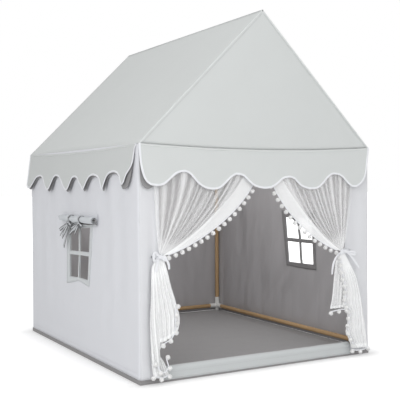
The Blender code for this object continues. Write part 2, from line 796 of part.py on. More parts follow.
def make_flap_ties(side, width_sign, middle, centre_x):
    """Two ribbons round the roll, with tails that hang askew and cross each other."""
    half_turn = math.pi * TIE_ARC_SHARE
    lowest = tie_radius(-math.pi / 2)
    made = None
    for tie, spot in TIE_PLACES.items():

        def band(u, v, spot=spot):
            turn = mix(-half_turn, half_turn, u)
            radius = tie_radius(turn)
            x = (centre_x + radius * math.cos(turn)) * width_sign
            z = FLAP_ROLL_HEIGHT + radius * math.sin(turn)
            return Vector((x, middle + spot + TIE_WIDTH * (v - 1 / 2), z))

        band_name = f"flap_band_{side}_{tie}"
        mesh = grid_mesh(band_name, 18, 1, band)
        if made is None:
            made = add_object(f"flap_ties_{side}", mesh, "tape_grey")
            thicken(made, RIBBON)
        else:
            tool = add_cutter(band_name, mesh)
            thicken(tool, RIBBON)
            boolean(made, "UNION", tool)
    tails = [(tie, *tail) for tie, tie_tails in TIE_TAILS.items() for tail in tie_tails]
    for index, (tie, run, drop) in enumerate(tails):
        start_y = middle + TIE_PLACES[tie]
        length = math.hypot(run, drop)
        aside = Vector((0, drop, run)) / length * (TIE_TAIL_WIDTH / 2)
        start_z = FLAP_ROLL_HEIGHT - lowest + RIBBON / 4 - aside.z

        def tail(u, v, run=run, drop=drop, start_y=start_y, start_z=start_z, aside=aside):
            line = Vector((centre_x * width_sign, start_y + run * u, start_z - drop * u))
            return line + aside * (2 * v - 1)

        tail_name = f"flap_tail_{side}_{index}"
        tool = add_cutter(tail_name, grid_mesh(tail_name, 2, 1, tail))
        # Each tail is a little thicker than the one before, so that they cross cleanly
        thicken(tool, RIBBON * (1 + (index + 1) / len(tails)))
        boolean(made, "UNION", tool)
    place_on_axis(made, (centre_x * width_sign, middle, FLAP_ROLL_HEIGHT))


# Curtains


def swag_point(side, u, v):
    """A swag's middle surface: u from its outer to its inner edge, v from the seam to the knot."""
    knot_x, knot_z = KNOTS[side]
    top_x = mix(SWAG_OUTER[side], SWAG_MEET, u)
    top_z = front_seam_height(top_x) - GAP
    reach = KNOT_RADIUS + KNOT_CLEARANCE
    angle = mix(math.pi / 2, SWAG_LOWEST_ANGLE, u)
    end_x = knot_x - reach * math.cos(angle)
    end_z = knot_z + reach * math.sin(angle)
    across = 1 - v ** (1 + SWAG_ACROSS_BEND_SHARE * u)
    up = (1 - v) ** (1 + SWAG_DOWN_BEND_SHARE * u)
    ripple = SWAG_FOLD * bump(v) * (1 - math.cos(2 * math.pi * SWAG_FOLDS * u)) / 2
    depth = mix(CURTAIN_LAYER + NET / 2, KNOT_DEPTH, v) + ripple
    x = mix(end_x, top_x, across) * SIDES[side]
    return Vector((x, -depth, mix(end_z, top_z, up)))


def hem_place(side, share):
    """The bottom of a tail at a share of its width, from its outer edge to its inner one."""
    return TAIL_FLOOR_GAP + KNOTS[side][1] * from_shares(TAIL_HEM_SHARES[side], share)


def tail_point(side, u, v):
    """A tail's middle surface: u from its outer to its inner edge, v from the knot to the hem."""
    knot_x, knot_z = KNOTS[side]
    top = knot_z - KNOT_RADIUS - KNOT_CLEARANCE
    height = mix(top, hem_place(side, u), v)
    fall = (top - height) / (top - TAIL_FLOOR_GAP)
    spread = fall**TAIL_SPREAD_SHARE
    outer = mix(TAIL_NECK, TAIL_OUTER[side], spread)
    inner = mix(TAIL_NECK, TAIL_INNER[side], spread)
    x = knot_x + mix(outer, -inner, u)
    ripple = TAIL_FOLD * math.sin(2 * math.pi * TAIL_FOLDS * u) * spread
    depth = KNOT_DEPTH + TAIL_LEAN * spread + ripple
    return Vector((x * SIDES[side], -depth, height))


def make_curtains():
    """Two swags and two tails of net."""
    for side in SIDES:
        knot_x, knot_z = KNOTS[side]
        sheet(
            f"curtain_swag_{side}",
            "net_white",
            4 * SWAG_FOLDS,
            SWAG_ROWS,
            lambda u, v, side=side: swag_point(side, u, v),
            NET,
        )
        tail = sheet(
            f"curtain_tail_{side}",
            "net_white",
            TAIL_COLUMNS,
            TAIL_ROWS,
            lambda u, v, side=side: tail_point(side, u, v),
            NET,
        )
        place_on_axis(tail, (knot_x * SIDES[side], -KNOT_DEPTH, knot_z))


def walk(line, pitch):
    """Points at an even pitch along a line of points, with the line's direction at each."""
    points = []
    waiting = 0.0
    for start, end in zip(line, line[1:]):
        run = (end - start).length
        while waiting <= run:
            points.append((mix(start, end, waiting / run), (end - start) / run))
            waiting += pitch
        waiting -= run
    return points


def trim(name, line, away, seat):
    """A pom-pom trim beside an edge: a cord with balls hanging from it.

    away is +1 or -1: the side of the line, seen from the front, that the balls hang on.
    seat is the distance from the line to the cord.
    """
    offset = TRIM_RADIUS + seat
    ways = [(end - start).normalized() for start, end in zip(line, line[1:])]
    outs = [Vector((way.z, 0, -way.x)).normalized() * away for way in ways]
    cord_line = []
    for point, before, after in zip(line, outs[:1] + outs, outs + outs[-1:]):
        corner = (before + after).normalized()
        cord_line.append(point + corner * offset / corner.dot(after))
    curve = bpy.data.curves.new(name, "CURVE")
    curve.dimensions = "3D"
    curve.bevel_depth = TRIM_RADIUS
    curve.bevel_resolution = 1
    curve.use_fill_caps = True
    spline = curve.splines.new("POLY")
    spline.points.add(len(cord_line) - 1)
    for target, point in zip(spline.points, cord_line):
        target.co = (*point, 1)
    guide = bpy.data.objects.new(name, curve)
    CUTTERS.objects.link(guide)
    bpy.context.view_layer.update()
    evaluated = guide.evaluated_get(bpy.context.evaluated_depsgraph_get())
    mesh = bpy.data.meshes.new_from_object(evaluated)
    bpy.data.objects.remove(guide)
    welded = bmesh.new()
    welded.from_mesh(mesh)
    bmesh.ops.remove_doubles(welded, verts=welded.verts, dist=GAP / 10)
    bmesh.ops.recalc_face_normals(welded, faces=welded.faces)
    welded.to_mesh(mesh)
    welded.free()
    made = add_object(name, mesh, "pom_white")
    balls = bmesh.new()
    hang = TRIM_RADIUS + POM_RADIUS - POM_SINK
    for point, way in walk(cord_line, POM_PITCH):
        out = Vector((way.z, 0, -way.x)).normalized() * away
        facing = out.to_track_quat("Z", "Y").to_matrix().to_4x4()
        bmesh.ops.create_uvsphere(
            balls,
            u_segments=POM_SIDES,
            v_segments=POM_RINGS,
            radius=POM_RADIUS,
            matrix=Matrix.Translation(point + out * hang) @ facing,
        )
    boolean(made, "UNION", add_cutter(f"{name}_balls", mesh_of(f"{name}_balls", balls)))
    return made


def make_trims():
    """The pom-pom trims of both swags and both tails."""
    for side, width_sign in SIDES.items():
        rows = [swag_point(side, 1, row / SWAG_ROWS) for row in range(SWAG_ROWS + 1)]
        knot = Vector((KNOTS[side][0] * width_sign, -KNOT_DEPTH, KNOTS[side][1]))
        far = KNOT_RADIUS + POM_RADIUS + TRIM_END_MARGIN
        last_run = [point for point, way in walk(rows[-2:], TRIM_RADIUS)]
        edge = [point for point in rows[:-1] if point.z < SWAG_TRIM_TOP]
        edge += [[point for point in last_run if (point - knot).length > far][-1]]
        trim(f"swag_trim_{side}", edge, width_sign, GAP)
        hem = [tail_point(side, step / TAIL_COLUMNS, 1) for step in range(TAIL_COLUMNS + 1)]
        made = trim(f"tail_trim_{side}", flat_line(hem), -width_sign, GAP + NET / 2)
        place_on_axis(made, knot)


def flat_line(line):
    """A hem's line without its folds, in the tail's own plane."""
    depth = sum(point.y for point in line) / len(line)
    return [Vector((point.x, depth, point.z)) for point in line]


def make_curtain_ties():
    """The knot at each curtain: a ball of ribbon, its bow, its ends and the strap behind it."""
    for side, width_sign in SIDES.items():
        knot_x, knot_z = KNOTS[side]
        knot = Vector((knot_x * width_sign, -KNOT_DEPTH, knot_z))
        name = f"curtain_tie_{side}"
        ball = bmesh.new()
        bmesh.ops.create_uvsphere(
            ball, u_segments=14, v_segments=8, radius=KNOT_RADIUS, matrix=Matrix.Translation(knot)
        )
        made = add_object(name, mesh_of(name, ball), "net_white")
        front = knot.y - KNOT_RADIUS + RIBBON
        add_bow(made, side, knot, front)
        strap_end = knot_x + STRAP_REACH[side]
        back = -(CURTAIN_LAYER + RIBBON / 2)

        def strap(u, v, knot=knot, strap_end=strap_end, width_sign=width_sign, back=back):
            x = mix(abs(knot.x), strap_end, u) * width_sign
            y = mix(knot.y, back, min(u * 2, 1))
            return Vector((x, y, knot.z + STRAP_WIDTH * (v - 1 / 2)))

        strap_name = f"{name}_strap"
        tool = add_cutter(strap_name, grid_mesh(strap_name, 4, 1, strap))
        thicken(tool, RIBBON)
        boolean(made, "UNION", tool)


def add_bow(made, side, knot, front):
    """A flat loop towards the post and two ribbon ends, which droop past both sides of the tail."""
    length, height = BOW_LENGTHS[side], BOW_HEIGHTS[side]
    drop, spread = BOW_END_DROPS[side], BOW_END_SPREADS[side]

    def loop(u, v):
        turn = 2 * math.pi * u
        x = knot.x + SIDES[side] * length * (1 - math.cos(turn)) / 2
        z = knot.z + height / 2 * math.sin(turn)
        return Vector((x, front + BOW_WIDTH * (v - 1), z))

    def closed_loop(u, v):
        return loop(mix(BOW_OPEN_SHARE, 1 - BOW_OPEN_SHARE, u), v)

    loop_name = f"curtain_tie_{side}_loop"
    tool = add_cutter(loop_name, grid_mesh(loop_name, 14, 1, closed_loop))
    thicken(tool, RIBBON)
    boolean(made, "UNION", tool)
    for index, way in enumerate((-1, 1)):

        def end(u, v, way=way):
            across = Vector((2 * drop * u, 0, spread)).normalized()
            line = Vector((BOW_END_START + spread * u, 0, -drop * u * u))
            spot = line + across * BOW_WIDTH * (v - 1 / 2)
            return Vector((knot.x + way * spot.x, front - RIBBON * way * u, knot.z + spot.z))

        end_name = f"curtain_tie_{side}_end_{index}"
        tool = add_cutter(end_name, grid_mesh(end_name, 6, 1, end))
        thicken(tool, RIBBON)
        boolean(made, "UNION", tool)


# Mat


def make_mat():
    """The padded floor mat: flat where the frame stands on it, crowned inside."""
    shape = bmesh.new()
    bmesh.ops.create_cube(shape, size=1)
    bmesh.ops.scale(shape, verts=shape.verts, vec=(WIDTH, DEPTH, MAT_THICKNESS))
    bmesh.ops.translate(shape, verts=shape.verts, vec=(0, 0, MAT_THICKNESS / 2))
    top_edges = [
        edge for edge in shape.edges if all(v.co.z > MAT_THICKNESS / 2 for v in edge.verts)
    ]
    bmesh.ops.subdivide_edges(shape, edges=top_edges, cuts=MAT_CUTS, use_grid_fill=True)
    for vertex in shape.verts:
        if vertex.co.z > MAT_THICKNESS / 2:
            across = (HALF_WIDTH - MAT_BORDER - abs(vertex.co.x)) / HALF_WIDTH
            deep = (HALF_DEPTH - MAT_BORDER - abs(vertex.co.y)) / HALF_DEPTH
            if across > 0 and deep > 0:
                vertex.co.z += MAT_CROWN * math.sqrt(min(across, 1) * min(deep, 1))
    add_object("floor_mat", mesh_of("floor_mat", shape), "mat_grey")


clear_scene()
PARTS = new_collection("play_tent")
CUTTERS = new_collection("cutters")
MATERIALS = make_finishes()
make_mat()
make_posts_and_rails()
make_connectors()
make_roof()
make_gables()
make_side_walls()
make_back_wall()
make_front_panels()
make_sill()
make_valances()
make_window_frames()
make_window_flaps()
make_curtains()
make_curtain_ties()
make_trims()
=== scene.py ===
"""The looks of a kids play tent: sewn cover, net curtains, window flaps, mat and frame.

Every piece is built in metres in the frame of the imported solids: the origin is the
middle of the footprint on the floor, +Z is up and the doorway faces -Y.
"""

from __future__ import annotations

import logging
import math
from collections.abc import Callable, Mapping, Sequence
from dataclasses import dataclass, field
from enum import Enum

import bmesh
import bpy
import numpy as np
from mathutils import Matrix, Vector, noise

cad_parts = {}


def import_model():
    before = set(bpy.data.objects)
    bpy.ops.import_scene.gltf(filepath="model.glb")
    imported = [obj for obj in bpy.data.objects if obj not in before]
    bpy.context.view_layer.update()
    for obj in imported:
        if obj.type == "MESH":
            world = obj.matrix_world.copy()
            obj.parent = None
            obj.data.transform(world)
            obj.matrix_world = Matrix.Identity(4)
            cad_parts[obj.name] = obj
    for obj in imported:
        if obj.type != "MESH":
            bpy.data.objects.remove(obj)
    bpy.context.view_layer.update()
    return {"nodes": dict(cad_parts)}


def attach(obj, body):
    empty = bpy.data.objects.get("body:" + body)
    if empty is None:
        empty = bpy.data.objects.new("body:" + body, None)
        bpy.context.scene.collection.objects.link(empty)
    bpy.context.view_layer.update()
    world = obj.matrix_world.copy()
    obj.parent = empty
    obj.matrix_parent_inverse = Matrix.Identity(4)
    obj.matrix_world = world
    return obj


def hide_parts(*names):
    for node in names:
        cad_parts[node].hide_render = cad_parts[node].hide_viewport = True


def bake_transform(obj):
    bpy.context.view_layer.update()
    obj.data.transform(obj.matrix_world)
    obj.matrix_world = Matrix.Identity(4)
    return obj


LOG = logging.getLogger("play_tent")
STRAIGHT_STEP = 0.03

Array = np.ndarray
Colour = tuple[float, float, float]
Point = tuple[float, float, float]
Knots = tuple[tuple[float, float], ...]
Settings = Mapping[str, object]
Node = bpy.types.Node
Socket = bpy.types.NodeSocket
Tree = bpy.types.NodeTree
Mesh = bpy.types.Mesh
Piece = bpy.types.Object
Material = bpy.types.Material


class Side(Enum):
    """The left or right side of the tent, seen from the front."""

    LEFT = "left"
    RIGHT = "right"

    @property
    def sign(self) -> int:
        """The sign of X on this side."""
        return -1 if self is Side.LEFT else 1


class End(Enum):
    """The front or back end of the tent."""

    FRONT = "front"
    BACK = "back"

    @property
    def sign(self) -> int:
        """The sign of Y at this end."""
        return -1 if self is End.FRONT else 1


class Grain(Enum):
    """The way a pole runs, as the turn that lays its grain along X."""

    ALONG_X = (0.0, 0.0, 0.0)
    ALONG_Y = (0.0, 0.0, math.pi / 2)
    UPRIGHT = (0.0, math.pi / 2, 0.0)
    RISING = (0.0, math.radians(44.6), 0.0)
    FALLING = (0.0, math.radians(-44.6), 0.0)


class Lookup(Enum):
    """Where a finish reads its pattern's place from."""

    CLOTH = "cloth"
    OBJECT = "object"


# Shares of a length, and smooth random values


def shares_across(count: int) -> Array:
    """Returns even shares from 0 to 1, as the columns of a grid."""
    return np.linspace(0, 1, count)[None, :]


def shares_down(count: int) -> Array:
    """Returns even shares from 0 to 1, as the rows of a grid."""
    return np.linspace(0, 1, count)[:, None]


def bump(share: Array) -> Array:
    """Returns a smooth rise and fall from 0 over 1 to 0, flat at both ends."""
    return np.sin(np.pi * np.clip(share, 0, 1)) ** 2


def ease(share: Array) -> Array:
    """Returns a smooth rise from 0 to 1."""
    held = np.clip(share, 0, 1)
    return held * held * (3 - 2 * held)


def mix(start: Array, end: Array, share: Array) -> Array:
    """Returns the value at a share of the way from start to end."""
    return start + (end - start) * share


def wander(places: Array, size: float, seed: int) -> Array:
    """Smooth values from about -1 to 1 that change over a length.

    Args:
        places: Points, as an array whose last axis is X, Y, Z.
        size: The length over which the value changes, in metres.
        seed: A number that sets this pattern apart from others.

    Returns:
        One value for each point.
    """
    shift = Vector((seed * 7.31, seed * 3.17, seed * 5.73))
    flat = places.reshape(-1, 3) / size
    values = [noise.noise(Vector(place) + shift) for place in flat]
    return np.array(values).reshape(places.shape[:-1])


def stops_between(low: float, high: float, step: float, stops: Sequence[float]) -> Array:
    """Even places from low to high that also meet each stop.

    Args:
        low: The first place.
        high: The last place.
        step: About how far apart the places are.
        stops: Places that have to be among them.

    Returns:
        The places, in order.
    """
    ends = [low, *sorted(stops), high]
    places: list[float] = []
    for start, end in zip(ends, ends[1:]):
        count = max(round((end - start) / step), 1)
        places += [start + (end - start) * index / count for index in range(count)]
    return np.array(places + [high])


def through(knots: Sequence[tuple[float, float]], places: Array) -> Array:
    """Values on a smooth line through knots, which swings past none of them.

    Args:
        knots: Pairs of a place and its value, in the order of their places.
        places: Where the line is read.

    Returns:
        The values at the places.
    """
    spots, values = np.array(knots, float).T
    runs = np.diff(spots)
    rises = np.diff(values) / runs
    before, after = rises[:-1], rises[1:]
    total = np.where(before * after > 0, before + after, 1.0)
    slopes = np.zeros(len(spots))
    slopes[1:-1] = np.where(before * after > 0, 2 * before * after / total, 0.0)
    held = np.clip(places, spots[0], spots[-1])
    index = np.clip(np.searchsorted(spots, held, side="right") - 1, 0, len(runs) - 1)
    run = runs[index]
    t = (held - spots[index]) / run
    start, end = values[index], values[index + 1]
    curved = slopes[index] * t * (1 - t) ** 2 - slopes[index + 1] * t * t * (1 - t)
    return mix(start, end, ease(t)) + run * curved


def stack(x: Array, y: Array, z: Array) -> Array:
    """Returns points from their three coordinates, spread to one shape."""
    return np.stack(np.broadcast_arrays(x, y, z), axis=-1).astype(float)


def unit(vectors: Array) -> Array:
    """Returns vectors of length 1 in the same directions."""
    return vectors / np.maximum(np.linalg.norm(vectors, axis=-1, keepdims=True), 1e-12)


def even_steps(line: Array, step: float) -> Array:
    """Points at an even step along a line of points, both ends included."""
    runs = np.linalg.norm(np.diff(line, axis=0), axis=1)
    reach = np.concatenate([[0.0], np.cumsum(runs)])
    count = max(int(round(reach[-1] / step)), 1)
    wanted = np.linspace(0, reach[-1], count + 1)
    return np.stack([np.interp(wanted, reach, line[:, axis]) for axis in range(3)], axis=1)


def paired(first: Array, second: Array) -> Array:
    """Returns pairs of two coordinates, spread to one shape."""
    return np.stack(np.broadcast_arrays(first, second), axis=-1)


# Nodes


def feed(socket: Socket, value: object) -> None:
    """Links a socket to another or to a node's first output, or sets its value."""
    if isinstance(value, Node):
        value = value.outputs[0]
    if isinstance(value, Socket):
        socket.id_data.links.new(value, socket)
    else:
        socket.default_value = value


def feed_all(sockets: Mapping[str, Socket], values: Mapping[str, object]) -> None:
    """Feeds sockets by name, with spaces written as underlines."""
    for name, value in values.items():
        feed(sockets[name.replace("_", " ")], value)


def add_node(tree: Tree, kind: str, settings: Settings | None = None, **inputs: object) -> Node:
    """Adds a node, sets its properties and feeds its inputs by name."""
    made = tree.nodes.new(kind)
    for name, value in (settings or {}).items():
        setattr(made, name, value)
    feed_all(made.inputs, inputs)
    return made


def add_maths(tree: Tree, operation: str, *values: object) -> Socket:
    """Adds a sum on numbers or sockets, and returns its result."""
    made = add_node(tree, "ShaderNodeMath", {"operation": operation})
    for socket, value in zip(made.inputs, values):
        feed(socket, value)
    return made.outputs["Value"]


def add_seen(tree: Tree) -> Socket:
    """Returns 1 for rays from the camera, straight or by a mirror or glass, and else 0."""
    ray = tree.nodes.new("ShaderNodeLightPath").outputs
    seen = add_maths(tree, "MAXIMUM", ray["Is Camera Ray"], ray["Is Glossy Ray"])
    return add_maths(tree, "MAXIMUM", seen, ray["Is Transmission Ray"])


# Finishes


class Desk:
    """The nodes of one material while it is made."""

    def __init__(self, name: str) -> None:
        """Opens a new material that has one Principled shader."""
        self.material = bpy.data.materials.new(name)
        self.material.use_nodes = True
        self.tree = self.material.node_tree
        self.shader = self.tree.nodes["Principled BSDF"]

    def node(self, kind: str, settings: Settings | None = None, **inputs: object) -> Node:
        """Adds a shader node."""
        return add_node(self.tree, f"ShaderNode{kind}", settings, **inputs)

    def surface(self, **values: object) -> Material:
        """Feeds the shader's inputs and returns the material."""
        feed_all(self.shader.inputs, values)
        return self.material

    def place(self, lookup: Lookup) -> Socket:
        """Returns the coordinates that a pattern reads."""
        if lookup is Lookup.CLOTH:
            return self.node("UVMap", {"uv_map": "cloth"}).outputs["UV"]
        return self.node("TexCoord").outputs["Object"]

    def turned(self, place: object, turn: Point, scale: Point) -> Node:
        """Returns coordinates turned and then scaled."""
        kind = {"vector_type": "POINT"}
        return self.node("Mapping", kind, Vector=place, Rotation=turn, Scale=scale)

    def maths(self, operation: str, *values: object) -> Socket:
        """Returns the result of one sum on numbers or sockets."""
        return add_maths(self.tree, operation, *values)

    def speckle(self, place: object, scale: float, detail: float = 2.0) -> Socket:
        """Returns smooth noise from 0 to 1."""
        return self.node("TexNoise", Vector=place, Scale=scale, Detail=detail).outputs["Fac"]

    def blend(self, share: object, colour: Colour, low: float, high: float) -> Socket:
        """Returns a colour between a darker and a lighter one, by a share."""
        return self.between(share, shaded(colour, low), shaded(colour, high))

    def between(self, share: object, low: Colour, high: Colour) -> Socket:
        """Returns a colour between two, by a share."""
        made = self.node("Mix", {"data_type": "RGBA"}, Factor=share)
        colours = [socket for socket in made.inputs if socket.type == "RGBA"]
        feed(colours[0], (*low, 1))
        feed(colours[1], (*high, 1))
        return next(socket for socket in made.outputs if socket.type == "RGBA")

    def relief(self, height: object, strength: float, distance: float) -> None:
        """Adds a bump on top of the bumps made so far."""
        made = self.node("Bump", Strength=strength, Distance=distance, Height=height)
        before = self.shader.inputs["Normal"]
        if before.is_linked:
            feed(made.inputs["Normal"], before.links[0].from_socket)
        feed(before, made)

    def wave(self, coordinate: object, period: float) -> Socket:
        """Returns a sine of a coordinate with a period in metres."""
        return self.maths("SINE", self.maths("MULTIPLY", coordinate, math.tau / period))


def shaded(colour: Colour, factor: float) -> Colour:
    """Returns a colour made lighter or darker by a factor."""
    return tuple(min(channel * factor, 1.0) for channel in colour)


@dataclass(frozen=True)
class Finish:
    """The name and colour of a finish."""

    name: str
    colour: Colour


@dataclass(frozen=True)
class WovenCloth(Finish):
    """Plain woven cloth: threads over and under, slubs and soft mottling."""

    thread: float = 0.0009
    relief: float = 0.25
    mottle: float = 0.035
    crinkle: float = 0.0008
    sheen: float = 0.10
    drape: float = 0.0
    lookup: Lookup = Lookup.CLOTH

    def make(self) -> Material:
        """Returns the material."""
        desk = Desk(self.name)
        place = desk.place(self.lookup)
        x, y, z = desk.node("SeparateXYZ", Vector=place).outputs
        if self.lookup is Lookup.OBJECT:
            x, y = desk.maths("ADD", x, y), desk.maths("ADD", z, desk.maths("MULTIPLY", y, 0.5))
        weave = desk.maths("MULTIPLY", desk.wave(x, 2 * self.thread), desk.wave(y, 2 * self.thread))
        slubs = (
            desk.speckle(desk.turned(place, (0, 0, 0), scale), 1.0, 3.0)
            for scale in ((60, 900, 200), (900, 60, 200))
        )
        threads = desk.maths("MULTIPLY", desk.maths("ADD", *slubs), 0.25)
        mottle = desk.maths("MULTIPLY", desk.speckle(place, 7.0, 4.0), 0.5)
        tone = desk.maths("ADD", threads, mottle)
        desk.relief(weave, self.relief, self.thread / 3)
        desk.relief(desk.speckle(place, 26.0, 3.0), 0.5, self.crinkle)
        if self.drape:
            hung = desk.turned(place, (0, 0, math.radians(38)), (10, 2.0, 1))
            desk.relief(desk.speckle(hung, 1.0, 1.0), 1.0, self.drape)
        colour = desk.blend(tone, self.colour, 1 - self.mottle, 1 + self.mottle)
        return desk.surface(
            Base_Color=colour, Roughness=0.9, Specular_IOR_Level=0.2, Sheen_Weight=self.sheen
        )


@dataclass(frozen=True)
class SheerNet(Finish):
    """Fine curtain net: crossing threads with open cells, denser where it is gathered."""

    cell: float = 0.0016
    thread_share: float = 0.11
    haze: float = 0.02

    def make(self) -> Material:
        """Returns the material."""
        desk = Desk(self.name)
        place = desk.place(Lookup.CLOTH)
        x, y, _ = desk.node("SeparateXYZ", Vector=place).outputs
        slants = (desk.wave(desk.maths(way, x, y), 2 * self.cell) for way in ("ADD", "SUBTRACT"))
        nearest = desk.maths("MINIMUM", *(desk.maths("ABSOLUTE", slant) for slant in slants))
        thread = desk.maths("LESS_THAN", nearest, self.thread_share)
        gather = desk.node("Attribute", {"attribute_name": "gather"}).outputs["Fac"]
        cover = desk.maths("ADD", desk.maths("MULTIPLY", thread, 1 - self.haze), self.haze)
        filled = desk.maths("MULTIPLY", gather, desk.maths("SUBTRACT", 1.0, cover))
        alpha = desk.maths("MINIMUM", desk.maths("ADD", cover, filled), 1.0)
        desk.relief(desk.speckle(place, 160.0, 2.0), 0.4, 0.0005)
        colour = desk.blend(desk.speckle(place, 40.0, 3.0), self.colour, 0.96, 1.03)
        return desk.surface(Alpha=alpha, Base_Color=colour, Roughness=0.8, Specular_IOR_Level=0.2)


@dataclass(frozen=True)
class FluffyYarn(Finish):
    """Cut yarn of a pom-pom: soft, matt and slightly uneven."""

    strand: float = 0.0008

    def make(self) -> Material:
        """Returns the material."""
        desk = Desk(self.name)
        strands = desk.speckle(desk.place(Lookup.OBJECT), 0.5 / self.strand, 3.0)
        desk.relief(strands, 0.25, self.strand)
        return desk.surface(
            Base_Color=desk.blend(strands, self.colour, 0.94, 1.03),
            Roughness=0.95,
            Specular_IOR_Level=0.1,
            Sheen_Weight=0.8,
            Subsurface_Weight=0.5,
            Subsurface_Radius=(1, 1, 1),
            Subsurface_Scale=0.003,
        )


@dataclass(frozen=True)
class TwillTape(Finish):
    """Woven tape or ribbon with a slanting rib."""

    rib: float = 0.0012

    def make(self) -> Material:
        """Returns the material."""
        desk = Desk(self.name)
        place = desk.place(Lookup.OBJECT)
        x, y, z = desk.node("SeparateXYZ", Vector=place).outputs
        slant = desk.maths("ADD", desk.maths("ADD", x, y), z)
        mottle = desk.speckle(place, 60.0, 3.0)
        desk.relief(desk.wave(slant, self.rib), 0.3, self.rib / 4)
        desk.relief(mottle, 0.3, 0.0006)
        colour = desk.blend(mottle, self.colour, 0.95, 1.04)
        return desk.surface(
            Base_Color=colour, Roughness=0.85, Specular_IOR_Level=0.25, Sheen_Weight=0.1
        )


@dataclass(frozen=True)
class PineDowel(Finish):
    """Sanded pine: rings drawn out along the pole, and fine pores."""

    dark: Colour = (0.34, 0.21, 0.10)
    grain: Grain = Grain.UPRIGHT

    def make(self) -> Material:
        """Returns the material."""
        desk = Desk(self.name)
        place = desk.turned(desk.place(Lookup.OBJECT), self.grain.value, (1, 1, 1))
        rings = desk.speckle(desk.turned(place, (0, 0, 0), (2.5, 90, 90)), 1.0, 3.0)
        streaks = desk.speckle(desk.turned(place, (0, 0, 0), (12, 700, 700)), 1.0, 2.0)
        parts = (desk.maths("MULTIPLY", rings, 0.75), desk.maths("MULTIPLY", streaks, 0.25))
        tone = desk.maths("ADD", *parts)
        sharper = desk.maths("SMOOTH_MIN", desk.maths("MULTIPLY", tone, 1.3), 1.0)
        desk.relief(streaks, 0.25, 0.0004)
        desk.relief(rings, 0.15, 0.0008)
        colour = desk.between(sharper, self.dark, self.colour)
        return desk.surface(Base_Color=colour, Roughness=0.55)


@dataclass(frozen=True)
class MouldedPlastic(Finish):
    """Matt moulded plastic with a fine texture."""

    def make(self) -> Material:
        """Returns the material."""
        desk = Desk(self.name)
        place = desk.place(Lookup.OBJECT)
        cloud = desk.speckle(place, 30.0, 3.0)
        desk.relief(desk.speckle(place, 900.0, 2.0), 0.2, 0.0003)
        rough = desk.maths("ADD", desk.maths("MULTIPLY", cloud, 0.15), 0.40)
        return desk.surface(Base_Color=desk.blend(cloud, self.colour, 0.96, 1.02), Roughness=rough)


def make_finishes() -> dict[str, Material]:
    """Returns the finishes of the cover, curtains, mat and frame by name."""
    finishes = (
        WovenCloth("roof_cotton", (0.620, 0.640, 0.635)),
        WovenCloth("wall_cotton", (0.760, 0.770, 0.805)),
        WovenCloth("panel_cotton", (0.705, 0.712, 0.735)),
        WovenCloth("sill_cotton", (0.565, 0.587, 0.592)),
        WovenCloth("flap_cotton", (0.640, 0.665, 0.690), crinkle=0.002),
        WovenCloth("inner_cotton", (0.420, 0.408, 0.416), mottle=0.05, drape=0.030),
        WovenCloth("valance_lining", (0.300, 0.297, 0.302), mottle=0.05),
        WovenCloth("mat_cotton", (0.285, 0.277, 0.279), thread=0.0011, crinkle=0.0016, sheen=0.25),
        WovenCloth("mat_edge_cotton", (0.400, 0.402, 0.405), lookup=Lookup.OBJECT),
        # Welt cotton: the roof cotton made a little lighter, a painted highlight along the welts.
        WovenCloth("seam_cotton", (0.660, 0.680, 0.675), lookup=Lookup.OBJECT),
        SheerNet("curtain_net", (0.955, 0.96, 0.965)),
        FluffyYarn("pom_yarn", (0.99, 0.99, 0.985)),
        TwillTape("white_tape", (0.82, 0.83, 0.86)),
        TwillTape("window_tape", (0.67, 0.695, 0.705)),
        TwillTape("inner_window_tape", (0.235, 0.228, 0.230)),
        TwillTape("tie_ribbon", (0.60, 0.62, 0.64)),
        # A near black tape: a painted shadow under and beside each tie ribbon.
        TwillTape("tie_ribbon_edge", (0.10, 0.10, 0.105)),
        TwillTape("grey_thread", (0.45, 0.47, 0.47), rib=0.0006),
        TwillTape("white_thread", (0.70, 0.71, 0.74), rib=0.0006),
        MouldedPlastic("connector_plastic", (0.80, 0.80, 0.78)),
        *(
            PineDowel(f"pine_{grain.name.lower()}", (0.55, 0.37, 0.20), grain=grain)
            for grain in Grain
        ),
    )
    return {finish.name: finish.make() for finish in finishes}


# Sheets of cloth


def plain_mesh(piece: Piece, name: str) -> Mesh:
    """Returns a piece's shape with its modifiers applied, as a new mesh."""
    bpy.context.view_layer.update()
    evaluated = piece.evaluated_get(bpy.context.evaluated_depsgraph_get())
    mesh = bpy.data.meshes.new_from_object(evaluated)
    mesh.name = name
    return mesh


def keep_shape(piece: Piece) -> None:
    """Turns a piece's modifiers into its plain mesh."""
    mesh = plain_mesh(piece, piece.name)
    piece.modifiers.clear()
    piece.data = mesh


def grid_quads(index: Array) -> Array:
    """Returns the cells of a grid of point numbers."""
    corners = [index[:-1, :-1], index[:-1, 1:], index[1:, 1:], index[1:, :-1]]
    return np.stack(corners, axis=-1).reshape(-1, 4)


def numbered(points: Array) -> Array:
    """Returns the point numbers of a grid of points."""
    return np.arange(points[..., 0].size).reshape(points.shape[:2])


def new_mesh(name: str, points: Array, quads: Array) -> Mesh:
    """Returns a mesh from points and the four point numbers of each face."""
    mesh = bpy.data.meshes.new(name)
    mesh.from_pydata(points.reshape(-1, 3).tolist(), [], quads.tolist())
    return mesh


def lay_flat(mesh: Mesh, flat: Array) -> None:
    """Gives each point its place on the flat cloth."""
    layer = mesh.uv_layers.new(name="cloth")
    corners = np.empty(len(mesh.loops), int)
    mesh.loops.foreach_get("vertex_index", corners)
    layer.data.foreach_set("uv", flat.reshape(-1, 2)[corners].reshape(-1))


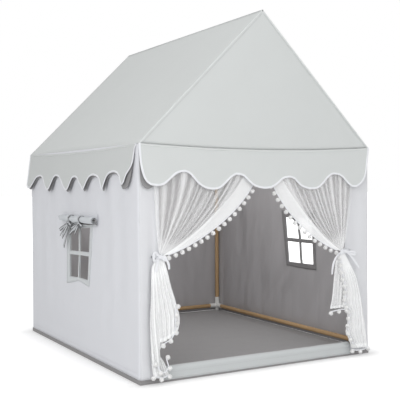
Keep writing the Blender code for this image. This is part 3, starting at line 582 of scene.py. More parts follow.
def tidy_mesh(mesh: Mesh, closed: bool = False) -> None:
    """Merges points that lie together, drops loose ones and shades the mesh smooth.

    Args:
        mesh: The mesh.
        closed: Whether it is closed, so that its faces are turned out.
    """
    shape = bmesh.new()
    shape.from_mesh(mesh)
    bmesh.ops.remove_doubles(shape, verts=shape.verts, dist=1e-6)
    loose = [vertex for vertex in shape.verts if not vertex.link_faces]
    bmesh.ops.delete(shape, geom=loose, context="VERTS")
    if closed:
        bmesh.ops.recalc_face_normals(shape, faces=shape.faces)
    shape.to_mesh(mesh)
    shape.free()
    mesh.shade_smooth()


@dataclass
class Sheet:
    """A cloth laid out on a grid.

    points and flat hold each grid point's place in the tent and on the flat cloth, both
    in metres. holes marks the cells left out, and marks are named values on the points.
    """

    name: str
    points: Array
    flat: Array
    holes: Array | None = None
    marks: dict[str, Array] = field(default_factory=dict)

    def build(
        self, materials: Sequence[Material], thickness: float, outward: Point | None = None
    ) -> Piece:
        """Makes the cloth's object.

        Args:
            materials: The finish of the outer face, and then of the inner face if it differs.
            thickness: How thick the cloth is. It grows away from the outer face.
            outward: The way that the outer face looks, or None to keep the grid's own way.

        Returns:
            The object, with a live thickness.
        """
        quads = grid_quads(numbered(self.points))
        if self.holes is not None:
            quads = quads[~self.holes.reshape(-1)]
        spots = self.points.reshape(-1, 3)
        if outward is not None:
            across = spots[quads[:, 2]] - spots[quads[:, 0]]
            other = spots[quads[:, 3]] - spots[quads[:, 1]]
            if np.cross(across, other).sum(axis=0) @ np.array(outward) < 0:
                quads = quads[:, ::-1]
        mesh = new_mesh(self.name, spots, quads)
        lay_flat(mesh, self.flat)
        for name, values in self.marks.items():
            mark = mesh.attributes.new(name, "FLOAT", "POINT")
            mark.data.foreach_set("value", values.reshape(-1).astype(np.float32))
        tidy_mesh(mesh)
        made = add_object(self.name, mesh, materials)
        shell = made.modifiers.new("thickness", "SOLIDIFY")
        shell.thickness = thickness
        shell.offset = -1
        shell.use_even_offset = True
        if len(materials) > 1:
            shell.material_offset = 1
        return made


def add_object(name: str, mesh: Mesh, materials: Sequence[Material]) -> Piece:
    """Puts a mesh in the scene with its finishes."""
    made = bpy.data.objects.new(name, mesh)
    bpy.context.scene.collection.objects.link(made)
    mesh.materials.clear()
    for material in materials:
        mesh.materials.append(material)
    return made


def hang(piece: Piece, body: str, slot: str, *replaced: str) -> None:
    """Fixes a finished piece to a body of the tent.

    Args:
        piece: The piece, in its place.
        body: The body that it moves with.
        slot: The material slot that its finish stands for; not used.
        replaced: The solids that it stands for.
    """
    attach(piece, body)
    if replaced:
        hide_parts(*replaced)
    LOG.info("%s on %s, %d faces", piece.name, body, len(piece.data.polygons))


# Strips, stitches and pom-poms that follow a line


@dataclass
class Path:
    """A line that a strip, a row of stitches or a trim follows.

    faces holds, for each point, the way that the strip's flat side looks or the trim hangs.
    """

    points: Array
    faces: Array

    @staticmethod
    def facing(points: Array, face: Point) -> Path:
        """Returns a path that faces one way all along."""
        return Path(points, np.tile(np.array(face, float), (len(points), 1)))

    @staticmethod
    def along(points: Sequence[Point] | Array, face: Point, step: float = 0.006) -> Path:
        """Returns a path in even steps with one facing all along."""
        return Path.facing(even_steps(np.array(points, float), step), face)


class LineTree:
    """A geometry node tree that builds something along lines of points."""

    def __init__(self, name: str, *inputs: str) -> None:
        """Opens the tree.

        Args:
            name: The tree's name.
            inputs: The name of each number that it takes.
        """
        self.tree = bpy.data.node_groups.new(name, "GeometryNodeTree")
        face = self.tree.interface
        face.new_socket("Geometry", in_out="INPUT", socket_type="NodeSocketGeometry")
        kinds = {**dict.fromkeys(inputs, "NodeSocketFloat"), "Finish": "NodeSocketMaterial"}
        self.sockets = {
            label: face.new_socket(label, in_out="INPUT", socket_type=kind).identifier
            for label, kind in kinds.items()
        }
        face.new_socket("Geometry", in_out="OUTPUT", socket_type="NodeSocketGeometry")
        self.entry = self.tree.nodes.new("NodeGroupInput").outputs
        self.numbers = [self.entry[name] for name in inputs]
        self.curve = self.node("MeshToCurve", Mesh=self.entry["Geometry"])

    def node(self, kind: str, settings: Settings | None = None, **inputs: object) -> Node:
        """Adds a geometry node."""
        return add_node(self.tree, f"GeometryNode{kind}", settings, **inputs)

    def times(self, value: Socket, factor: float) -> Socket:
        """Returns a number multiplied by a factor."""
        return add_maths(self.tree, "MULTIPLY", value, factor)

    def facing(self) -> Socket:
        """Returns the facing kept on the line's points."""
        made = self.node("InputNamedAttribute", {"data_type": "FLOAT_VECTOR"}, Name="face")
        outputs = (socket for socket in made.outputs if socket.name == "Attribute")
        return next(socket for socket in outputs if socket.enabled)

    def close(self, shape: Node) -> LineTree:
        """Ends the tree: real geometry, shaded smooth, with the finish."""
        real = self.node("RealizeInstances", Geometry=self.node("SetShadeSmooth", Geometry=shape))
        finish = self.node("SetMaterial", Geometry=real, Material=self.entry["Finish"])
        feed(self.tree.nodes.new("NodeGroupOutput").inputs["Geometry"], finish)
        return self

    def run(self, name: str, paths: Sequence[Path], finish: Material, **values: float) -> Piece:
        """Runs the tree and keeps its result as a plain mesh.

        Args:
            name: The new piece's name.
            paths: The lines to follow.
            finish: The finish of the result.
            values: The tree's inputs by name.

        Returns:
            The piece, with no modifier.
        """
        points = np.concatenate([path.points for path in paths])
        faces = np.concatenate([path.faces for path in paths])
        edges: list[tuple[int, int]] = []
        start = 0
        for path in paths:
            edges += [(start + index, start + index + 1) for index in range(len(path.points) - 1)]
            start += len(path.points)
        guide_mesh = bpy.data.meshes.new(f"{name}_line")
        guide_mesh.from_pydata(points.tolist(), edges, [])
        mark = guide_mesh.attributes.new("face", "FLOAT_VECTOR", "POINT")
        mark.data.foreach_set("vector", faces.reshape(-1).astype(np.float32))
        guide = add_object(f"{name}_line", guide_mesh, [])
        modifier = guide.modifiers.new("line", "NODES")
        modifier.node_group = self.tree
        for label, value in {"Finish": finish, **values}.items():
            modifier[self.sockets[label]] = value
        mesh = plain_mesh(guide, name)
        bpy.data.objects.remove(guide)
        return add_object(name, mesh, [finish])


def strip_tree() -> LineTree:
    """Returns a tree that sweeps a flat tape with round edges along each line."""
    built = LineTree("tape_along_line", "Width", "Thickness")
    width, thickness = built.numbers
    face = built.node("SetCurveNormal", {"mode": "FREE"}, Curve=built.curve, Normal=built.facing())
    outline = built.node("CurvePrimitiveQuadrilateral", Width=thickness, Height=width)
    rounded = built.node(
        "FilletCurve", {"mode": "POLY"}, Curve=outline, Count=2, Radius=built.times(thickness, 0.45)
    )
    return built.close(built.node("CurveToMesh", Curve=face, Profile_Curve=rounded, Fill_Caps=True))


def stitch_tree() -> LineTree:
    """Returns a tree that lays a short thread at each step of each line."""
    built = LineTree("stitches_along_line", "Pitch", "Length", "Thread")
    pitch, length, thickness = built.numbers
    points = built.node("CurveToPoints", {"mode": "LENGTH"}, Curve=built.curve, Length=pitch)
    tangent = points.outputs["Tangent"]
    aim = add_node(built.tree, "FunctionNodeAlignRotationToVector", {"axis": "Z"}, Vector=tangent)
    thread = built.node(
        "MeshCylinder", {"fill_type": "NGON"}, Vertices=5, Radius=thickness, Depth=length
    )
    return built.close(built.node("InstanceOnPoints", Points=points, Instance=thread, Rotation=aim))


def pom_tree() -> LineTree:
    """Returns a tree that hangs fluffy balls along each line, on the side that it faces."""
    built = LineTree("pompoms_along_line", "Pitch", "Radius", "Hang", "Tufts")
    pitch, radius, hang_by, density = built.numbers
    even = built.node("ResampleCurve", {"mode": "LENGTH"}, Curve=built.curve, Length=pitch)
    drop = add_node(built.tree, "ShaderNodeVectorMath", {"operation": "SCALE"}, Scale=hang_by)
    feed(drop.inputs[0], built.facing())
    hung = built.node("SetPosition", Geometry=even, Offset=drop)
    core = built.node("MeshIcoSphere", Radius=built.times(radius, 0.88), Subdivisions=3)
    spread = {"distribute_method": "RANDOM"}
    spots = built.node("DistributePointsOnFaces", spread, Mesh=core, Density=density, Seed=3)
    width, length = built.times(radius, 0.14), built.times(radius, 0.28)
    tuft = built.node(
        "MeshCone",
        {"fill_type": "NGON"},
        Vertices=4,
        Radius_Top=0.0,
        Radius_Bottom=width,
        Depth=length,
    )
    turn = spots.outputs["Rotation"]
    tufts = built.node("InstanceOnPoints", Points=spots, Instance=tuft, Rotation=turn)
    ball = built.node("JoinGeometry", Geometry=core)
    feed(ball.inputs["Geometry"], tufts)
    full_turn = (math.tau, math.tau, math.tau)
    turn = add_node(
        built.tree, "FunctionNodeRandomValue", {"data_type": "FLOAT_VECTOR"}, Seed=5, Max=full_turn
    )
    return built.close(built.node("InstanceOnPoints", Points=hung, Instance=ball, Rotation=turn))


# The cover


@dataclass(frozen=True)
class TentSizes:
    """The sizes of the tent's solids that its looks are built from, in metres."""

    half_width: float = 0.525
    half_depth: float = 0.610
    eave: float = 0.853
    ridge: float = 1.371
    hem: float = 0.0163
    wall_top: float = 0.8507
    gap: float = 0.0003
    cloth: float = 0.0016
    front_sag: float = 0.016
    side_sag: float = 0.011
    corner_radius: float = 0.009

    def front_seam(self, x: Array) -> Array:
        """Returns the height of the seam over the doorway, which sags between the posts."""
        return self.eave - self.front_sag * (1 - (x / self.half_width) ** 2)

    def corner_round(self, distance: Array) -> Array:
        """Returns how far a wall turns in at a distance from an upright corner."""
        short = np.clip(self.corner_radius - distance, 0, self.corner_radius)
        return self.corner_radius - np.sqrt(self.corner_radius**2 - short**2)

    def wall_end(self, half: float) -> float:
        """Returns where a wall ends, half way round its corner."""
        return half - self.corner_radius * (1 - math.sqrt(0.5))


@dataclass
class Sewing:
    """The sizes, the finishes and the tapes, stitches and trims that the tent is sewn with."""

    sizes: TentSizes
    finishes: dict[str, Material]
    strips: LineTree = field(default_factory=strip_tree)
    stitches: LineTree = field(default_factory=stitch_tree)
    poms: LineTree = field(default_factory=pom_tree)
    pitch: float = 0.0065
    stitch: float = 0.0042
    thread: float = 0.00045


@dataclass
class Part:
    """A part of the tent that is sewn together."""

    sewing: Sewing

    @property
    def sizes(self) -> TentSizes:
        """The sizes of the tent."""
        return self.sewing.sizes

    def cloth(
        self,
        sheet: Sheet,
        finishes: Sequence[str],
        outward: Point | None,
        thickness: float | None = None,
    ) -> Piece:
        """Returns the object of a sheet.

        Args:
            sheet: The sheet.
            finishes: The names of its outer face's finish, and then of its inner face's.
            outward: The way that its outer face looks, or None to keep the grid's own way.
            thickness: Its thickness, or None for the cover's own.

        Returns:
            The object, with a live thickness.
        """
        materials = [self.sewing.finishes[name] for name in finishes]
        return sheet.build(materials, self.sizes.cloth if thickness is None else thickness, outward)

    def tape(
        self,
        name: str,
        paths: Sequence[Path],
        finish: str,
        size: tuple[float, float],
        on: Sequence[str],
    ) -> None:
        """Lays flat tapes along paths.

        Args:
            name: The piece's name.
            paths: The lines that it follows.
            finish: Its finish's name.
            size: Its width and thickness.
            on: Its body, its slot, and then the solids that it stands for.
        """
        material = self.sewing.finishes[finish]
        hang(self.sewing.strips.run(name, paths, material, Width=size[0], Thickness=size[1]), *on)

    def stitch(
        self, name: str, paths: Sequence[Path], on: Sequence[str], thread: str = "white_thread"
    ) -> None:
        """Sews rows of stitches along paths, fixed to a body."""
        kit = self.sewing
        sizes = {"Pitch": kit.pitch, "Length": kit.stitch, "Thread": kit.thread}
        hang(kit.stitches.run(name, paths, kit.finishes[thread], **sizes), *on)


@dataclass
class Roof(Part):
    """Two slopes and two gables, with a sewn welt along their edges."""

    slack: float = 0.006
    welt: float = 0.006

    def build(self) -> None:
        """Builds the roof's cloths, welts and stitches."""
        for side in Side:
            self.slope(side)
        for end in End:
            self.gable(end)
        self.seams()

    def slope(self, side: Side) -> None:
        """Builds one slope, slack between the poles and drooping at its eave."""
        sizes = self.sizes
        y = np.linspace(-sizes.half_depth, sizes.half_depth, 81)[None, :]
        v = shares_down(61) ** 1.5
        x = mix(sizes.half_width, 0.0, v)
        z = mix(sizes.eave, sizes.ridge, v)
        rise, run = sizes.ridge - sizes.eave, sizes.half_width
        length = math.hypot(rise, run)
        out = np.array([rise, 0.0, run]) / length
        share = (y + sizes.half_depth) / (2 * sizes.half_depth)
        base = stack(x, y, z)
        sag = self.slack * bump(share) ** 0.6 * bump(v) ** 0.8
        free = bump(share) ** 0.3 * bump(np.clip(v, 0.02, 0.98)) ** 0.3
        soft = 0.0022 * wander(base, 0.34, 1) + 0.0008 * wander(base, 0.11, 2)
        points = base + (free * soft - sag)[..., None] * out
        points[..., 2] -= sizes.side_sag * (1 - (y / sizes.half_depth) ** 2) * (1 - ease(v / 0.026))
        points[..., 0] *= side.sign
        sheet = Sheet(f"roof_cloth_{side.value}", points, paired(y, v * length))
        cloth = self.cloth(sheet, ("roof_cotton", "inner_cotton"), (side.sign, 0, 1))
        hang(cloth, "tent", "cover_grey", f"roof_slope_{side.value}")

    def gable(self, end: End) -> None:
        """Builds one gable: a triangle with a soft belly."""
        sizes = self.sizes
        u = np.linspace(-1, 1, 81)[None, :]
        v = shares_down(49)
        foot_x = u * sizes.half_width
        foot_z = sizes.front_seam(foot_x) if end is End.FRONT else sizes.eave
        x = foot_x * (1 - v)
        z = mix(foot_z, sizes.ridge - 0.0012, v)
        free = bump((u + 1) / 2) ** 0.4 * np.clip(4 * v * (1 - v), 0, 1)
        belly = 0.004 * free + 0.0018 * free * wander(stack(x, 0 * x, z), 0.26, 4 + end.sign)
        points = stack(x, end.sign * (sizes.half_depth + belly), z)
        sheet = Sheet(f"gable_cloth_{end.value}", points, paired(x, z))
        cloth = self.cloth(sheet, ("roof_cotton", "inner_cotton"), (0, end.sign, 0))
        hang(cloth, "tent", "cover_grey", f"gable_{end.value}")

    def seams(self) -> None:
        """Builds the welts along the rafters, and the stitches along them and along the ridge."""
        sizes = self.sizes
        slope = unit(np.array([-sizes.half_width, 0, sizes.ridge - sizes.eave]))
        inward = np.array([-slope[2], 0, slope[0]])
        welts, rows = [], []
        for end in End:
            y, face = end.sign * (sizes.half_depth + 0.0004), (0, end.sign, 0)
            lift = slope * (0.0 if end is End.FRONT else 0.016)
            low = np.array([sizes.half_width, y, sizes.eave]) + inward * self.welt / 2 + lift
            high = np.array([0, y, sizes.ridge]) + inward * self.welt / 2
            shift = inward * (self.welt / 2 + 0.004) + np.array([0, end.sign * 0.0012, 0])
            row = np.array([low + lift + shift + slope * 0.01, high + shift - slope * 0.02])
            for side in Side:
                flip = np.array([side.sign, 1, 1])
                welts.append(Path.along([low * flip, high * flip], face, STRAIGHT_STEP))
                rows.append(Path.along(row * flip, face, STRAIGHT_STEP))
        for side in Side:
            out = np.array([side.sign * -inward[0], 0, -inward[2]])
            for away in (0.006, 0.012):
                spot = np.array([0, 0, sizes.ridge]) - slope * np.array([side.sign, 1, 1]) * away
                ends = [spot + out * 0.0004 + np.array([0, y, 0]) for y in (-0.605, 0.605)]
                rows.append(Path.along(ends, tuple(out), STRAIGHT_STEP))
        # The welts are lighter than the roof cloth: a painted highlight along the rafter edges.
        self.tape("roof_welts", welts, "seam_cotton", (self.welt, 0.0022), ("tent", "cover_grey"))
        self.stitch("roof_stitches", rows, ("tent", "cover_grey"), "grey_thread")


# The hanging edges of the valances: places along a side, and how far each is below the
# corners' height, in metres. On the sides the places run from the front corner.

FRONT_EDGE = (
    (-0.5250, 0.012), (-0.5240, 0.061), (-0.5208, 0.091), (-0.5133, 0.120), (-0.5005, 0.139),
    (-0.4832, 0.148), (-0.4600, 0.150), (-0.4372, 0.145), (-0.4197, 0.134), (-0.4021, 0.1205),
    (-0.3843, 0.108), (-0.3671, 0.102), (-0.3499, 0.100), (-0.3300, 0.107), (-0.3142, 0.123),
    (-0.2954, 0.1435), (-0.2788, 0.155), (-0.2584, 0.162), (-0.2340, 0.1645), (-0.2125, 0.1615),
    (-0.1937, 0.1515), (-0.1704, 0.1335), (-0.1510, 0.119), (-0.1280, 0.110), (-0.1029, 0.1145),
    (-0.0891, 0.125), (-0.0740, 0.139), (-0.0562, 0.152), (-0.0324, 0.160), (-0.0100, 0.163),
    (0.0131, 0.162), (0.0370, 0.154), (0.0577, 0.1415), (0.0787, 0.1275), (0.0950, 0.1225),
    (0.1110, 0.121), (0.1304, 0.126), (0.1487, 0.142), (0.1634, 0.1545), (0.1829, 0.1625),
    (0.2074, 0.1675), (0.2322, 0.1665), (0.2529, 0.160), (0.2746, 0.1445), (0.3025, 0.1205),
    (0.3292, 0.109), (0.3546, 0.111), (0.3741, 0.121), (0.3880, 0.135), (0.4067, 0.152),
    (0.4220, 0.160), (0.4374, 0.1605), (0.4567, 0.1535), (0.4741, 0.1415), (0.4897, 0.123),
    (0.5008, 0.098), (0.5060, 0.077), (0.5107, 0.060), (0.5170, 0.035), (0.5240, 0.012),
)
FRONT_LINING = (
    (-0.5248, 0.012), (-0.5244, 0.110), (-0.5215, 0.135), (-0.5130, 0.152), (-0.4960, 0.161),
    (-0.4700, 0.150), (-0.4372, 0.137), (-0.4021, 0.112), (-0.3600, 0.092), (-0.3142, 0.115),
    (-0.2500, 0.154), (-0.1937, 0.143), (-0.1300, 0.102), (-0.0740, 0.131), (-0.0100, 0.155),
    (0.0577, 0.133), (0.1080, 0.113), (0.1487, 0.134), (0.2200, 0.158), (0.2746, 0.136),
    (0.3400, 0.101), (0.3880, 0.127), (0.4300, 0.153), (0.4741, 0.134), (0.4990, 0.080),
    (0.5230, 0.012),
)
SIDE_EDGE = (
    (-0.5920, 0.010), (-0.5850, 0.018), (-0.5825, 0.038), (-0.5805, 0.061), (-0.5725, 0.079),
    (-0.5555, 0.0955), (-0.5380, 0.109), (-0.5295, 0.1225), (-0.5215, 0.1375), (-0.5075, 0.1455),
    (-0.4945, 0.139), (-0.4830, 0.1245), (-0.4740, 0.1155), (-0.4536, 0.1035), (-0.4215, 0.0985),
    (-0.3837, 0.1025), (-0.3640, 0.111), (-0.3510, 0.124), (-0.3385, 0.145), (-0.3265, 0.1635),
    (-0.3060, 0.1455), (-0.2841, 0.1235), (-0.2552, 0.112), (-0.2197, 0.108), (-0.1865, 0.114),
    (-0.1645, 0.129), (-0.1490, 0.148), (-0.1310, 0.1655), (-0.1040, 0.151), (-0.0720, 0.1355),
    (-0.0504, 0.120), (-0.0192, 0.1125), (0.0085, 0.117), (0.0236, 0.131), (0.0370, 0.149),
    (0.0480, 0.162), (0.0640, 0.169), (0.0850, 0.163), (0.1080, 0.1515), (0.1351, 0.1335),
    (0.1621, 0.1175), (0.1868, 0.108), (0.2147, 0.1055), (0.2397, 0.113), (0.2530, 0.1265),
    (0.2690, 0.146), (0.2850, 0.1625), (0.3030, 0.1685), (0.3225, 0.1625), (0.3466, 0.1475),
    (0.3713, 0.1285), (0.3957, 0.111), (0.4284, 0.1045), (0.4759, 0.109), (0.4972, 0.118),
    (0.5340, 0.142), (0.5703, 0.160), (0.5950, 0.157), (0.6100, 0.147),
)
SIDE_LINING_CORNER = (
    (-0.5900, 0.012), (-0.5790, 0.030), (-0.5750, 0.059), (-0.5720, 0.083), (-0.5670, 0.103),
    (-0.5570, 0.130), (-0.5460, 0.148), (-0.5316, 0.159), (-0.5040, 0.162), (-0.4840, 0.148),
    (-0.4600, 0.120), (-0.4215, 0.105),
)
SIDE_LINING = SIDE_LINING_CORNER + tuple(
    (place, drop + 0.007) for place, drop in SIDE_EDGE if place > -0.40
)


@dataclass
class Valance(Part):
    """One side's scalloped valance: cloth, a lining behind it, and a white binding."""

    node: str
    body: str
    half_run: float
    sag: float
    layer: float
    place: Callable[[Array, Array, Array], Array]
    outward: Point
    edge: Knots = FRONT_EDGE
    lining: Knots = FRONT_LINING
    lining_flare: float = 0.010
    full_drop: float = 0.163
    flare: float = 0.022
    binding: float = 0.008

    def columns(self, count: int) -> Array:
        """Places along the side, closer together at the corners."""
        low, high = self.edge[0][0], self.edge[-1][0]
        close = np.linspace(0, 1, 40) ** 1.6 * 0.08
        places = np.concatenate([np.linspace(low, high, count), low + close, high - close])
        return np.unique(places.round(5))

    def surface(
        self, spot: Array, v: Array, layer: float, flare: float, lining: bool = False
    ) -> Array:
        """Points of a layer of the valance.

        Args:
            spot: Places along the seam.
            v: Shares of the way from the seam to the edge.
            layer: How far from the middle of the tent the layer starts.
            flare: How far the edge stands out.
            lining: Whether this is the lining, whose corners are fuller.

        Returns:
            The points.
        """
        drop = through(self.lining if lining else self.edge, spot)
        seam = self.sizes.eave - self.sag * (1 - (spot / self.half_run) ** 2)
        height = mix(seam + 0 * v, np.minimum(self.sizes.eave - drop, seam - 0.002), v)
        fallen = np.clip((seam - height) / self.full_drop, 0, 1.1)
        out = layer + flare * fallen**1.15
        near = np.clip((self.half_run - np.abs(spot)) / 0.06, 0, 1)
        sway = wander(stack(spot, 0 * v, 0 * v), 0.17, 11 + len(self.node))
        out = out + 0.0045 * fallen**1.5 * (sway + 0.3) * near * (flare / self.flare)
        return self.place(spot + 0 * v, out, height)

    def line(self, spot: Array, v: float, layer: float) -> Array:
        """Points along the valance at one share of its drop."""
        return self.surface(spot, np.full(1, v), layer, self.flare)

    def build(self) -> None:
        """Builds the valance's layers, binding and stitches."""
        columns, fine = self.columns(241)[None, :], self.columns(2001)
        v = shares_down(25)
        drops = through(self.edge, columns)
        flat = paired(columns, v * drops)
        on, outer_layer = (self.body, "cover_grey"), self.layer + self.sizes.cloth
        outer = Sheet(f"{self.node}_cloth", self.surface(columns, v, outer_layer, self.flare), flat)
        cloth = self.cloth(outer, ("roof_cotton", "valance_lining"), self.outward, 0.0012)
        hang(cloth, *on, self.node)
        points = self.surface(columns, v, self.layer + 0.0003, self.lining_flare, lining=True)
        inner = Sheet(f"{self.node}_lining", points, flat)
        lining = self.cloth(inner, ("valance_lining",), self.outward, 0.0006)
        hang(lining, *on)
        bound = outer_layer - 0.0006
        edge, above = self.line(fine, 1.0, bound), self.line(fine, 0.9, bound)
        ends = [self.line(fine[[index]], 0.0, bound) for index in (0, -1)]
        ups = np.concatenate([(above - edge)[:1], above - edge, (above - edge)[-1:]])
        self.edging(np.concatenate([ends[0], edge, ends[1]]), ups)
        seam = Path.along(self.line(fine[80:-80:40], 0.055, outer_layer + 0.0003), self.outward)
        self.stitch(f"{self.node}_stitches", [seam], on, "grey_thread")
        # The fold at the valance's top is a welt lighter than its cloth: a painted highlight.
        fold = Path.along(self.line(fine[20:-20:20], 0.040, outer_layer - 0.0001), self.outward)
        self.tape(f"{self.node}_welt", [fold], "seam_cotton", (0.005, 0.0016), on)

    def edging(self, line: Array, ups: Array) -> None:
        """Builds the binding folded over the scalloped edge.

        Args:
            line: Points along the edge, from one corner to the other.
            ups: The way up the cloth at each point.
        """
        packed = even_steps(line, 0.0035)
        reach = np.concatenate([[0], np.cumsum(np.linalg.norm(np.diff(line, axis=0), axis=1))])
        wanted = np.linspace(0, reach[-1], len(packed))
        up = unit(np.stack([np.interp(wanted, reach, ups[:, axis]) for axis in range(3)], axis=1))
        along = unit(np.gradient(packed, axis=0))
        outward = np.array(self.outward, float)
        facing = unit(outward - (outward * up).sum(axis=1, keepdims=True) * up)
        inward = np.cross(along, facing)
        lean = inward * up
        inward *= np.sign(lean.sum(axis=1, keepdims=True) + 0.2 * np.sign(lean.sum()))
        path = Path(packed + unit(inward) * (self.binding / 2 - 0.0015), facing)
        size = (self.binding, 0.0024)
        self.tape(f"{self.node}_binding", [path], "white_tape", size, (self.body, "cover_grey"))


def make_valances(sewing: Sewing) -> list[Valance]:
    """Returns the four valances of the tent."""
    sizes = sewing.sizes
    made = []
    for end in End:
        front = end is End.FRONT
        made.append(
            Valance(
                sewing,
                node=f"valance_{end.value}",
                body=f"{end.value}_valance",
                half_run=sizes.half_width,
                sag=sizes.front_sag if front else 0.0,
                layer=sizes.half_depth + (0.0026 if front else 0.0004),
                place=lambda spot, out, height, sign=end.sign: stack(spot, sign * out, height),
                outward=(0, end.sign, 0),
            )
        )
    for side in Side:
        made.append(
            Valance(
                sewing,
                node=f"valance_{side.value}",
                body=f"{side.value}_valance",
                half_run=sizes.half_depth,
                sag=sizes.side_sag,
                layer=sizes.half_width + 0.0004,
                place=lambda spot, out, height, sign=side.sign: stack(out * sign, spot, height),
                outward=(side.sign, 0, 0),
                edge=SIDE_EDGE,
                lining=SIDE_LINING,
                lining_flare=0.012,
            )
        )
    return made


@dataclass(frozen=True)
class WindowPlace:
    """Where a side window lies, and its panes, in metres."""

    centre: float
    bottom: float = 0.325
    size: float = 0.212
    border: float = 0.026
    upright: float = 0.012
    cross: float = 0.0165
    flap_shift: float = 0.028
    low_shift: tuple[float, ...] = (0.014, 0.006, -0.002, -0.007, 0.006)
    high_shift: tuple[float, ...] = (-0.037, -0.032, -0.019, -0.013, -0.005)
    lift: tuple[tuple[float, ...], ...] = (
        (-0.003, 0.000, 0.011, -0.008, -0.014),
        (-0.005, -0.005, -0.002, -0.008, -0.008),
        (-0.004, -0.004, -0.007, -0.011, -0.011),
        (-0.002, -0.002, -0.008, -0.011, -0.011),
        (-0.014, -0.014, -0.015, -0.015, -0.015),
    )

    @property
    def span(self) -> tuple[float, float]:
        """The two ends of the pane area along the wall."""
        return self.centre - self.size / 2, self.centre + self.size / 2

    @property
    def rise(self) -> tuple[float, float]:
        """The bottom and top of the pane area."""
        return self.bottom, self.bottom + self.size

    def moved(self, y: Array, z: Array) -> tuple[Array, Array]:
        """Where the pulled cloth has taken points of the wall near the window.

        low_shift and high_shift are the shifts along the wall at the bottom and top, and
        lift those upwards, all at the border's edges, the panes' edges and the middle.

        Args:
            y: Places along the wall before they are pulled.
            z: Their heights.

        Returns:
            The places along the wall and the heights after it.
        """
        y, z = np.broadcast_arrays(y, z)
        half, order = self.size / 2, np.arange(5.0)
        spots = [-half - self.border, -half, 0.0, half, half + self.border]
        across, up = y - self.centre, z - self.bottom - half
        column, row = np.interp(across, spots, order), np.interp(up, spots, order)
        ends = (self.low_shift, self.high_shift)
        low, high = (np.interp(column, order, shifts) for shifts in ends)
        along = mix(low, high, np.clip(up / (spots[4] - spots[0]) + 0.5, 0, 1))
        rise = sum(
            np.interp(column, order, shifts) * np.clip(1 - np.abs(row - index), 0, 1)
            for index, shifts in enumerate(self.lift)
        )
        beyond = np.maximum(np.abs(across), np.abs(up)) - spots[4]
        held = 1 - ease(beyond / 0.10)
        return y + held * along, z + held * rise


WINDOWS = {
    Side.LEFT: WindowPlace(-0.019),
    Side.RIGHT: WindowPlace(
        -0.135,
        low_shift=(0.001, -0.005, -0.023, -0.028, -0.034),
        high_shift=(0.009, 0.011, 0.011, 0.0046, 0.0055),
        lift=(
            (0.013, 0.013, 0.014, 0.016, 0.016),
            (0.011, 0.011, 0.010, 0.009, 0.009),
            (0.009,) * 5,
            (0.009,) * 5,
            (0.016,) * 5,
        ),
    ),
}


# The ties of a flap: each one's place from the flap's middle, and for each of its ends how
# far it reaches along the wall, how far it falls and how much it bows.

FLAP_TIES = {
    0.064: (
        (0.090, 0.112, 1.0), (0.135, 0.040, 0.6), (0.100, 0.072, 1.3), (0.070, 0.055, 0.8),
        (0.118, 0.062, 0.9), (-0.020, 0.014, 1.5), (0.026, 0.012, 1.5),
    ),
    -0.053: (
        (0.110, 0.026, 0.9), (0.090, 0.040, 1.2), (0.125, 0.050, 0.6), (0.060, 0.048, 0.7),
        (-0.022, 0.012, 1.5), (0.024, 0.012, 1.5),
    ),
}


@dataclass(frozen=True)
class StripEdge:
    """The free edge of a front panel: its distance from the middle, and the tie's pull.

    pull is how far the tied curtain draws it in, from the height low to past the knot.
    """

    edge: float
    pull: float
    knot: float
    low: float = 0.160


STRIPS = {
    Side.LEFT: StripEdge(0.447, 0.004, 0.451),
    Side.RIGHT: StripEdge(0.427, 0.029, 0.432),
}


